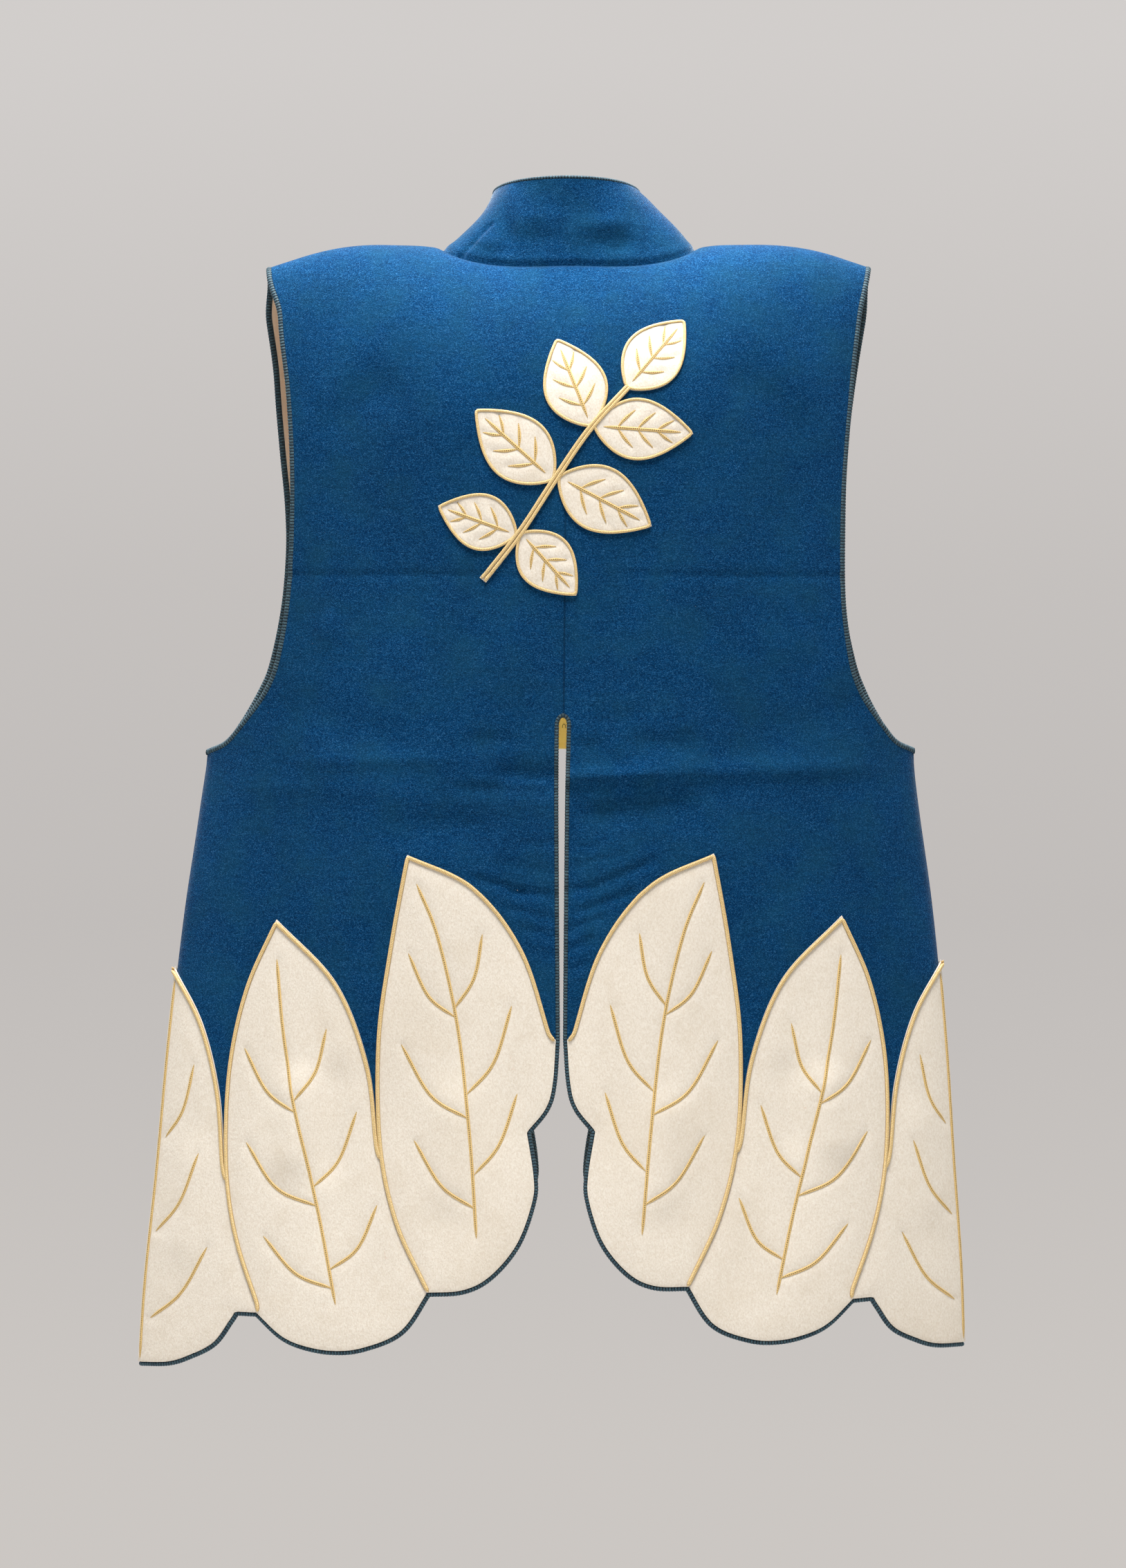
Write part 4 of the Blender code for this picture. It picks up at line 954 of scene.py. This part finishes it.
# The upper back's spray, and the feet x, z, turn in degrees, length and width of its leaves
spray = {
    "stem": metres([(-62, -244), (-34, -208), (-8, -168), (18, -130), (47, -98)]),
    "stemWide": 0.006, "stemTip": 0.7, "stemCord": 0.85, "cordAcross": 0.54, "inset": 0.0010,
    "cordWidth": 0.72, "cordHeight": 0.0016, "swellPower": 0.85, "edgePower": 0.9,
    "veinShares": (0.24, 0.44, 0.63), "veinReach": 0.36, "veinShift": 0.14, "veinRise": 0.13,
    # Share of the reach, share of the rise
    "veinBends": [(0.45, 0.6), (0.85, 1.3)],
    "leaves": [(0.045, -0.100, 50.0, 0.068, 0.045), (0.019, -0.129, 112.0, 0.072, 0.048),
               (0.020, -0.128, -4.0, 0.076, 0.047), (-0.009, -0.169, 138.0, 0.080, 0.050),
               (-0.006, -0.166, -28.0, 0.080, 0.050), (-0.036, -0.210, 160.0, 0.064, 0.043),
               (-0.034, -0.208, -48.0, 0.064, 0.043)]}
leaf = {"thick": 0.0015, "crown": 0.0007, "crownReach": 0.014, "spacing": 0.0042,
        "rows": (0.0012, 0.0032, 0.0062), "inset": 0.0014, "cordHeight": 0.0019, "veinDeep": 0.0008,
        "veinWide": 0.0024, "rimDeep": 0.0005, "rimWide": 0.0010, "rimStep": 0.0030, "lineStep": 0.0035,
        "grooveHalf": 0.0016, "stitchStep": 0.0012, "stitchLift": 0.0002, "cordStep": 0.0010,
        "lapClear": 0.0001, "cornerClear": 0.002, "under": 0.0001, "sideClear": 0.004, "sideStep": 0.003,
        "sideInset": 0.0016, "sideLift": 0.0001, "tuck": [(-0.0032, 0.0120), (-0.0010, 0.0060)]}


# The drawing of places on either side of the middle
def drawBoth(points):
    points = np.array(points, dtype=float)
    drawn = drawFlat(np.abs(points) * [1.0, 0.0] + points * [0.0, 1.0])
    drawn[:, 0] *= np.where(points[:, 0] < 0, -1.0, 1.0)
    return drawn


# The felt's height over the cloth: an even edge, a soft crown within it and a groove at each vein
def feltHeight(points, shapes, lines):
    within = np.max([distanceTo(points, shape) * inside(points, shape) for shape in shapes], axis=0)
    crown = leaf["crown"] * softStep(within / leaf["crownReach"])
    rim = leaf["rimDeep"] * np.exp(-(within / leaf["rimWide"]) ** 2)
    away = np.min([distanceTo(points, line, closed=False) for line in lines], axis=0)
    groove = leaf["veinDeep"] * np.exp(-(away / leaf["veinWide"]) ** 2)
    return leaf["thick"] + crown - rim - groove


# A line moved inwards, without the points that pass each other at a corner
def insetLine(line, distance, closed=False):
    moved = offsetLine(line, distance, closed)
    return moved[distanceTo(moved, line, closed) > form["clearShare"] * distance]


# Felt on the cloth, and the places and normals of the stitches sunk into it
def feltPiece(name, node, face, side, shapes, lines):
    drawn = [evenly(shape, leaf["rimStep"], True) for shape in shapes]
    shifts = (-leaf["grooveHalf"], 0.0, leaf["grooveHalf"])
    extra = [np.vstack([offsetLine(line, shift, False) for shift in shifts]) for line in lines]
    net, triangles = netOver(drawn, leaf["spacing"], leaf["rows"], extra)
    wall = wallOver(net, triangles, face, side, feltHeight(net, drawn, lines), leaf["under"])
    piece = makePiece(name, [wall], "felt", node)
    fine = [evenly(line, leaf["stitchStep"]) for line in lines]
    return [place(line, face, side, feltHeight(line, drawn, lines) + leaf["stitchLift"]) for line in fine]


# A stitched vein: a flat pair of gold strands that runs out to a point
def veinGroup(route):
    points, normals = easedRoute(*route, vein["pitch"], vein["ease"])
    return sweepGroup(points, normals, vein["halfWidth"], vein["halfHeight"], pairRelief, vein["pitch"],
                      vein["sides"], False, vein["taper"])


def veinPiece(name, threads):
    makePiece(name, [veinGroup(thread) for thread in threads], "vein")


# A cord sewn down along a flat line
def cordGroup(line, face, side, closed=False, width=1.0, height=leaf["cordHeight"]):
    points, normals = easedRoute(*place(line, face, side, height), cord["pitch"], cord["ease"], closed)
    return sweepGroup(points, normals, cord["halfWidth"] * width, cord["halfHeight"] * width, evenRelief,
                      cord["pitch"], cord["sides"], closed, cord["taper"])


# The line of a rim's cord, moved in from the edge of its felt
def rimLine(line, inset, closed=False):
    step = leaf["cordStep"]
    return evenly(insetLine(evenly(line, step, closed), inset, closed), step, closed)


for name, runs in runsOf.items():
    face, word = name.split("_")
    side = -1 if word == "left" else 1
    shapes, routes = leafShapes(face, runs)
    threads, cords = [], []
    for kind, shape in shapes.items():
        lines = [evenly(leafLine(face, places), leaf["lineStep"]) for places in veins[kind]]
        kindName = kind + "_" + name
        threads += feltPiece("felt_" + kindName, "leaf_" + kindName, face, side, [shape], lines)
        cords.append(cordGroup(rimLine(routes[kind], leaf["inset"]), face, side))
    # The front's and the back's outer leaves meet in a stitched line on the side seam
    sideLine = runs["side"][runs["side"][:, 1] > shapes["outer"][0, 1] + leaf["sideClear"]]
    sideLine = offsetLine(evenly(sideLine, leaf["sideStep"])[:-1], leaf["sideInset"], False)
    sideLine = evenly(sideLine, leaf["stitchStep"])
    sideLine = sideLine[inside(sideLine, shapes["outer"])]
    threads.append(place(sideLine, face, side, leaf["thick"] + leaf["sideLift"]))
    makePiece("cord_" + name, cords, "cord")
    veinPiece("veins_" + name, threads)
print("leaves made")


# A flat shape run round anticlockwise, as the others are
def anticlockwise(shape):
    x, y = shape.T
    return shape if np.sum(x * np.roll(y, -1) - y * np.roll(x, -1)) >= 0 else shape[::-1]


# The spray: each leaf swells as the sine of the way up it, and the stem tapers
stem = curveThrough(spray["stem"])
ahead = unit(np.gradient(stem, axis=0))
across = np.stack([-ahead[:, 1], ahead[:, 0]], axis=1) * 0.5 * spray["stemWide"]
across *= np.linspace(1.0, spray["stemTip"], len(stem))[:, None]
shapes = [anticlockwise(drawBoth(np.vstack([stem - across, (stem + across)[::-1]])))]
cords = [cordGroup(evenly(drawBoth(stem + way * spray["cordAcross"] * across), leaf["cordStep"]), "back", 1,
                   False, spray["stemCord"]) for way in (-1, 1)]
lines = []
part = np.linspace(0.0, 1.0, 48)[:, None]
for footX, footZ, turn, long, wide in spray["leaves"]:
    foot = np.array([footX, footZ])
    axis = np.array([math.cos(math.radians(turn)), math.sin(math.radians(turn))])
    beside = np.array([-axis[1], axis[0]])
    spine = foot + long * part * axis
    edge = 0.5 * wide * np.sin(math.pi * part ** spray["swellPower"]) ** spray["edgePower"] * beside
    shapes.append(anticlockwise(drawBoth(np.vstack([(spine - edge)[:-1], (spine + edge)[::-1][:-1]]))))
    rim = rimLine(shapes[-1], spray["inset"], True)
    cords.append(cordGroup(rim, "back", 1, True, spray["cordWidth"], spray["cordHeight"]))
    lines.append(evenly(drawBoth(spine[5:-6]), leaf["lineStep"]))
    for share in spray["veinShares"]:
        start = foot + long * share * axis
        swell = math.sin(math.pi * (share + spray["veinShift"]) ** spray["swellPower"])
        reach = spray["veinReach"] * wide * swell
        for sign in (-1, 1):
            bent = [start] + [start + out * reach * sign * beside + spray["veinRise"] * long * axis * rise
                              for out, rise in spray["veinBends"]]
            lines.append(evenly(drawBoth(curveThrough(bent)), leaf["lineStep"]))
threads = feltPiece("felt_spray", "leaf_spray", "back", 1, shapes, lines)
makePiece("cord_spray", cords, "cord")
veinPiece("veins_spray", threads)
print("spray made")


# The edging's route just outside the named runs, half sunk beside the cloth, and its normals
def edgeRoute(face, side, runs, names, half):
    run = np.vstack([runs[name][:-1] for name in names] + [runs[names[-1]][-1:]])
    run = evenly(run, edging["routeStep"])
    moved = offsetLine(run, edging["lap"] - half, False)
    base = onBody(run, face)
    across = onBody(run + (moved - run) * edging["sample"], face) - base
    across /= np.maximum(np.linalg.norm(across, axis=1, keepdims=True), 1e-12)
    normals = outward(run, face, lambda points: onBody(points, face))
    crease = creaseHeight(run[:, 0] * side, base[:, 2], face)[:, None]
    size = np.linalg.norm(moved - run, axis=1, keepdims=True)
    return base + across * size + (edging["depth"] + crease) * normals, normals


def edgingGroup(route, normals, half, closed=False):
    points, normals = easedRoute(route, normals, edging["pitch"] / edging["steps"], edging["ease"], closed)
    return sweepGroup(points, normals, half, edging["halfHeight"], ribRelief, edging["pitch"],
                      edging["sides"], closed)


# One piece goes from the top of the slit round the hem and up the front, and one round the armhole
for side, word in ((-1, "left"), (1, "right")):
    for kind, names in (("", hemNames), ("armhole_", ["armhole"])):
        half = edging["armholeHalf" if kind else "hemHalf"]
        (back, backNormals), (front, frontNormals) = [
            edgeRoute(face, side, runsOf[face + "_" + word], names, half) for face in ("back", "front")]
        if kind:
            route = np.vstack([0.5 * (back[:1] + front[:1]), back[1:-1], 0.5 * (back[-1:] + front[-1:]),
                               front[::-1][1:-1]])
            normals = np.vstack([backNormals, frontNormals[::-1][1:-1]])
        else:
            route = np.vstack([back[::-1], front[1:]])
            normals = np.vstack([backNormals[::-1], frontNormals[1:]])
            route[0, 0] = edging["slitStart"]
        group = edgingGroup(settle(route, side), normals * [side, 1, 1], half, bool(kind))
        makePiece("bound_" + kind + word, [group], "edging", "edging_" + kind + word)
print("edging made")

collar = {"thick": 0.0024, "seat": -0.0012, "topHalfWidth": 0.0580, "topHalfDepth": 0.052,
          "topMiddleY": 0.020, "sideZ": 0.0465, "backRise": 0.0120, "frontDrop": 0.0415,
          "baseHalfDepth": 0.058, "baseMiddleY": 0.012, "topShift": 0.0014, "leftBulge": 0.0060,
          "rightBulge": 0.0022, "rows": 28, "foot": -0.030, "spacing": 0.0019, "backPower": 0.6,
          "frontPower": 1.3, "rimClear": 0.0002, "fadePower": 0.35,
          # Height, waves to a metre across, and the reach below the rim or the waves to a metre up
          "rimRipple": (0.0004, 410.0, 0.12), "ripple": (0.0005, 90.0, 120.0),
          # Height, middle and reach of the roll at the foot, and its share in front and added behind
          "roll": (0.0010, 0.07, 0.055), "rollShares": (0.15, 0.85), "seatDip": (0.0012, 0.03),
          # x, z, half length, half height, rise of each pucker on its back
          "puckers": metres([(34, 12, 20, 6, -2.8), (30, 27, 18, 6.5, 2), (-43, 18, 4.8, 14, -1.8),
              (-33, 20, 4.5, 14, 1.2), (-1, 16, 3.6, 16, -1.1), (6, 16, 3.6, 18, 1), (-20, 15, 16, 5, -1.2),
              (-18, 31, 15, 6, 1.2), (56, 15, 5, 14, 1.2), (-56, 12, 10, 6, 1.2)]),
          # The short seam's foot x, lean, depth, half width and how far up it goes
          "seam": (-0.0803, 0.90, 0.0013, 0.0024, 0.50)}
base = None
for name, way in (("front_left", 1), ("back_left", -1), ("back_right", 1), ("front_right", -1)):
    face, word = name.split("_")
    neck = evenly(runsOf[name]["neck"], collar["spacing"])
    places = place(neck, face, -1 if word == "left" else 1, collar["seat"])[0][::way]
    if base is None:
        base = places
    else:
        base = np.vstack([base[:-1], 0.5 * (base[-1:] + places[:1]), places[1:]])
# The top is an ellipse, highest at the back, and the wall runs straight up to it with a bulge at the sides
turn = np.arctan2(base[:, 0] / form["neckHalfWidth"],
                  (collar["baseMiddleY"] - base[:, 1]) / collar["baseHalfDepth"])
backShare, frontShare = np.clip(np.cos(turn), 0.0, 1.0), np.clip(-np.cos(turn), 0.0, 1.0)
top = np.stack([collar["topHalfWidth"] * np.sin(turn) + collar["topShift"] * (1 - frontShare),
                collar["topMiddleY"] - collar["topHalfDepth"] * np.cos(turn),
                collar["sideZ"] + collar["backRise"] * backShare ** collar["backPower"]
                - collar["frontDrop"] * frontShare ** collar["frontPower"]], axis=1)
top[[0, -1], 0] = base[[0, -1], 0]
top += unit(top - base) * edging["collarGrow"]
rise = np.linspace(collar["foot"], 1.0, collar["rows"])[:, None, None]
outer = base * (1 - rise) + top * rise
rise = rise[:, :, 0]
bulge = np.where(turn > 0, collar["rightBulge"], collar["leftBulge"]) * np.sin(turn) ** 4
outer[:, :, 0] += bulge * np.sin(math.pi * np.maximum(rise, 0.0))


# Outward normals of a grid that stands round the neck, level across its two front ends
def collarNormals(grid):
    normals = unit(np.cross(np.gradient(grid, axis=1), np.gradient(grid, axis=0)))
    inward = np.array([0.0, collar["topMiddleY"], 0.0]) - grid
    normals *= np.where(np.sum(normals * inward, axis=2, keepdims=True) > 0, -1.0, 1.0)
    normals[:, [0, -1], 0] = 0.0
    return unit(normals)


normals = collarNormals(outer)
middle = outer - 0.5 * collar["thick"] * normals
up = unit(middle[-1] - middle[-2]) * (edging["collarHalf"] - collar["rimClear"])
rim = middle[-1] + up
start = middle[:, 0] + [edging["collarHalf"], 0, 0]
end = middle[:, -1] - [edging["collarHalf"], 0, 0]
rim[0], rim[-1] = start[-1] + up[0], end[-1] + up[-1]
start[0, 2] += edging["collarHalf"]
end[0, 2] += edging["collarHalf"]
route = np.vstack([start[:-1], rim, end[:-1][::-1]])
flat = np.vstack([normals[:-1, 0], normals[-1], normals[:-1, -1][::-1]])
bound = edgingGroup(route, flat, edging["collarHalf"])
makePiece("bound_collar", [bound], "edging", "edging_collar")

# Puckers fade to nothing at the rim, and a short seam crosses the collar at the left shoulder
x, y, z = [outer[:, :, axis] for axis in range(3)]
behind = y < collar["topMiddleY"]
height = np.zeros(x.shape)
for middleX, middleZ, long, high, lift in collar["puckers"]:
    height += lift * np.exp(-((x - middleX) / long) ** 2 - ((z - middleZ) / high) ** 2) * behind
high, waves, reach = collar["rimRipple"]
height += high * np.sin(x * waves) * np.exp(-((1 - rise) / reach) ** 2)
high, waves, upwards = collar["ripple"]
height += high * np.sin(x * waves + 1.0) * np.sin(z * upwards)
height *= np.sin(math.pi * np.clip(rise, 0.0, 1.0)) ** collar["fadePower"]
high, middleRise, reach = collar["roll"]
roll = high * np.exp(-((rise - middleRise) / reach) ** 2)
deep, reach = collar["seatDip"]
roll -= deep * np.exp(-(rise / reach) ** 2)
inFront, addedBehind = collar["rollShares"]
height += roll * (inFront + addedBehind * backShare ** 0.5)
footX, lean, deep, wide, top = collar["seam"]
height -= deep * np.exp(-((x - footX - lean * z) / wide) ** 2) * (rise < top) * behind
skin = outer + height[..., None] * normals
within = outer - collar["thick"] * normals
triangles = gridTriangles(*x.shape)
wall = wallGroup(skin.reshape(-1, 3), within.reshape(-1, 3), triangles)
piece = makePiece("stand_collar", [wall], "wool", "collar")
print("collar made")

flap = {"halfWidth": 0.017, "top": -0.080, "end": -0.3705, "depth": -0.0041, "loopX": 0.0008,
        "loopZ": -0.3525, "loopHalf": 0.0011, "threadHalf": 0.00024, "columns": 13, "rows": 84,
        "leg": (0.0012, -0.0022), "step": 0.0003, "ease": 0.0004, "pitch": 0.001, "sides": 6}
top, end = drawFlat([(0.0, flap["top"]), (0.0, flap["end"])])[:, 1]
over = np.linspace(-flap["halfWidth"], flap["halfWidth"], flap["columns"])
down = np.linspace(top, end, flap["rows"])
net = np.stack(np.meshgrid(over, down), axis=-1).reshape(-1, 2)
inner = flap["depth"] - form["liningThick"]
wall = wallOver(net, gridTriangles(len(down), len(over)), "front", 1, flap["depth"], inner)
piece = makePiece("underflap", [wall], "flap", "front_underflap")
# A small loop of dark thread left on the strip, two sides and a half turn
bend = np.linspace(0.0, math.pi, 12)
loop = flap["loopHalf"] * np.stack([np.cos(bend), np.sin(bend)], axis=1)
legX, legZ = flap["leg"]
loop = np.vstack([[legX, legZ], loop, [-legX, legZ]]) + [0.0, flap["loopZ"]]
loop = drawFlat(loop) + [flap["loopX"], 0.0]
points, normals = easedRoute(*place(loop, "front", 1, inner), flap["step"], flap["ease"])
thread = sweepGroup(points, normals, flap["threadHalf"], flap["threadHalf"], evenRelief, flap["pitch"],
                    flap["sides"], False)
makePiece("strip_loop", [thread], "edging")
print("underflap made")

# Camera: level, square to the back, far enough to flatten it as the photograph does
view = {"scale": 0.00052, "height": 2268, "middle": (-0.00156, -0.39728), "distance": 10.0,
        "backPlane": -0.09, "sensor": 36.0, "clipEnd": 60.0}
cameraData = bpy.data.cameras.new("camera")
cameraData.sensor_fit = "VERTICAL"
cameraData.sensor_height = view["sensor"]
cameraData.lens = view["sensor"] * view["distance"] / (view["height"] * view["scale"])
cameraData.clip_end = view["clipEnd"]
camera = addObject("camera", cameraData)
camera.location = (view["middle"][0], view["backPlane"] - view["distance"], view["middle"][1])
camera.rotation_euler = (0.5 * math.pi, 0.0, 0.0)
bpy.context.scene.camera = camera

light = {
    # Place, width, power and colour of each soft lamp, all aimed at the middle of the garment
    "lamps": [((-0.1, 0.50, 2.5), 1.5, 245.0, (1.0, 0.985, 0.97)),
              ((-0.1, -1.4, 2.9), 1.5, 202.0, (1.0, 0.985, 0.97)),
              ((2.3, 2.4, 0.8), 2.0, 20.0, (1.0, 0.98, 0.96)),
              ((-2.3, 2.5, 0.6), 2.0, 20.0, (0.98, 0.99, 1.0))],
    "aim": (0.0, 0.0, -0.35), "floorZ": -1.30, "floorRadius": 5.0, "floorSides": 96, "world": 0.25,
    "floor": (0.50, 0.485, 0.47, 1.0),
    "backdrop": [(0.30, (0.600, 0.570, 0.545)), (0.46, (0.535, 0.510, 0.495)),
                 (0.56, (0.555, 0.530, 0.515)), (0.72, (0.640, 0.615, 0.600))]}
for index, (spot, width, power, colour) in enumerate(light["lamps"]):
    lamp = bpy.data.lights.new("lamp" + str(index), "AREA")
    lamp.shape = "DISK"
    lamp.size = width
    lamp.energy = power
    lamp.color = colour
    held = addObject(lamp.name, lamp)
    held.location = spot
    held.rotation_euler = (Vector(light["aim"]) - Vector(spot)).to_track_quat("-Z", "Y").to_euler()

turn = 2 * math.pi * np.arange(light["floorSides"]) / light["floorSides"]
disc = bpy.data.meshes.new("floor")
rim = np.stack([light["floorRadius"] * np.cos(turn), light["floorRadius"] * np.sin(turn),
                light["floorZ"] + 0 * turn], axis=1)
disc.from_pydata(rim.tolist(), [], [tuple(range(light["floorSides"]))])
paleFloor = Board(bpy.data.materials.new("paleFloor"), {"Roughness": 0.9, "Base Color": light["floor"]})
disc.materials.append(paleFloor.owner)
addObject("floor", disc)

# The camera sees a backdrop that is darker at mid height, and the part is lit by one even grey
world = bpy.data.worlds.new("studio")
bpy.context.scene.world = world
sky = Board(world)
level = sky.split(sky.coords[0])[2] * 4.0 + 0.5
shade = sky.node("ShaderNodeValToRGB", {"stops": light["backdrop"]}, {0: level})[0]
seen = sky.node("ShaderNodeLightPath", {}, {})[0]
backdrop = sky.mix(seen, (light["world"],) * 3, shade)
sky.tree.links.new(backdrop.socket, sky.tree.nodes["Background"].inputs["Color"])
bpy.context.scene.view_settings.view_transform = "Standard"
print("stage set")
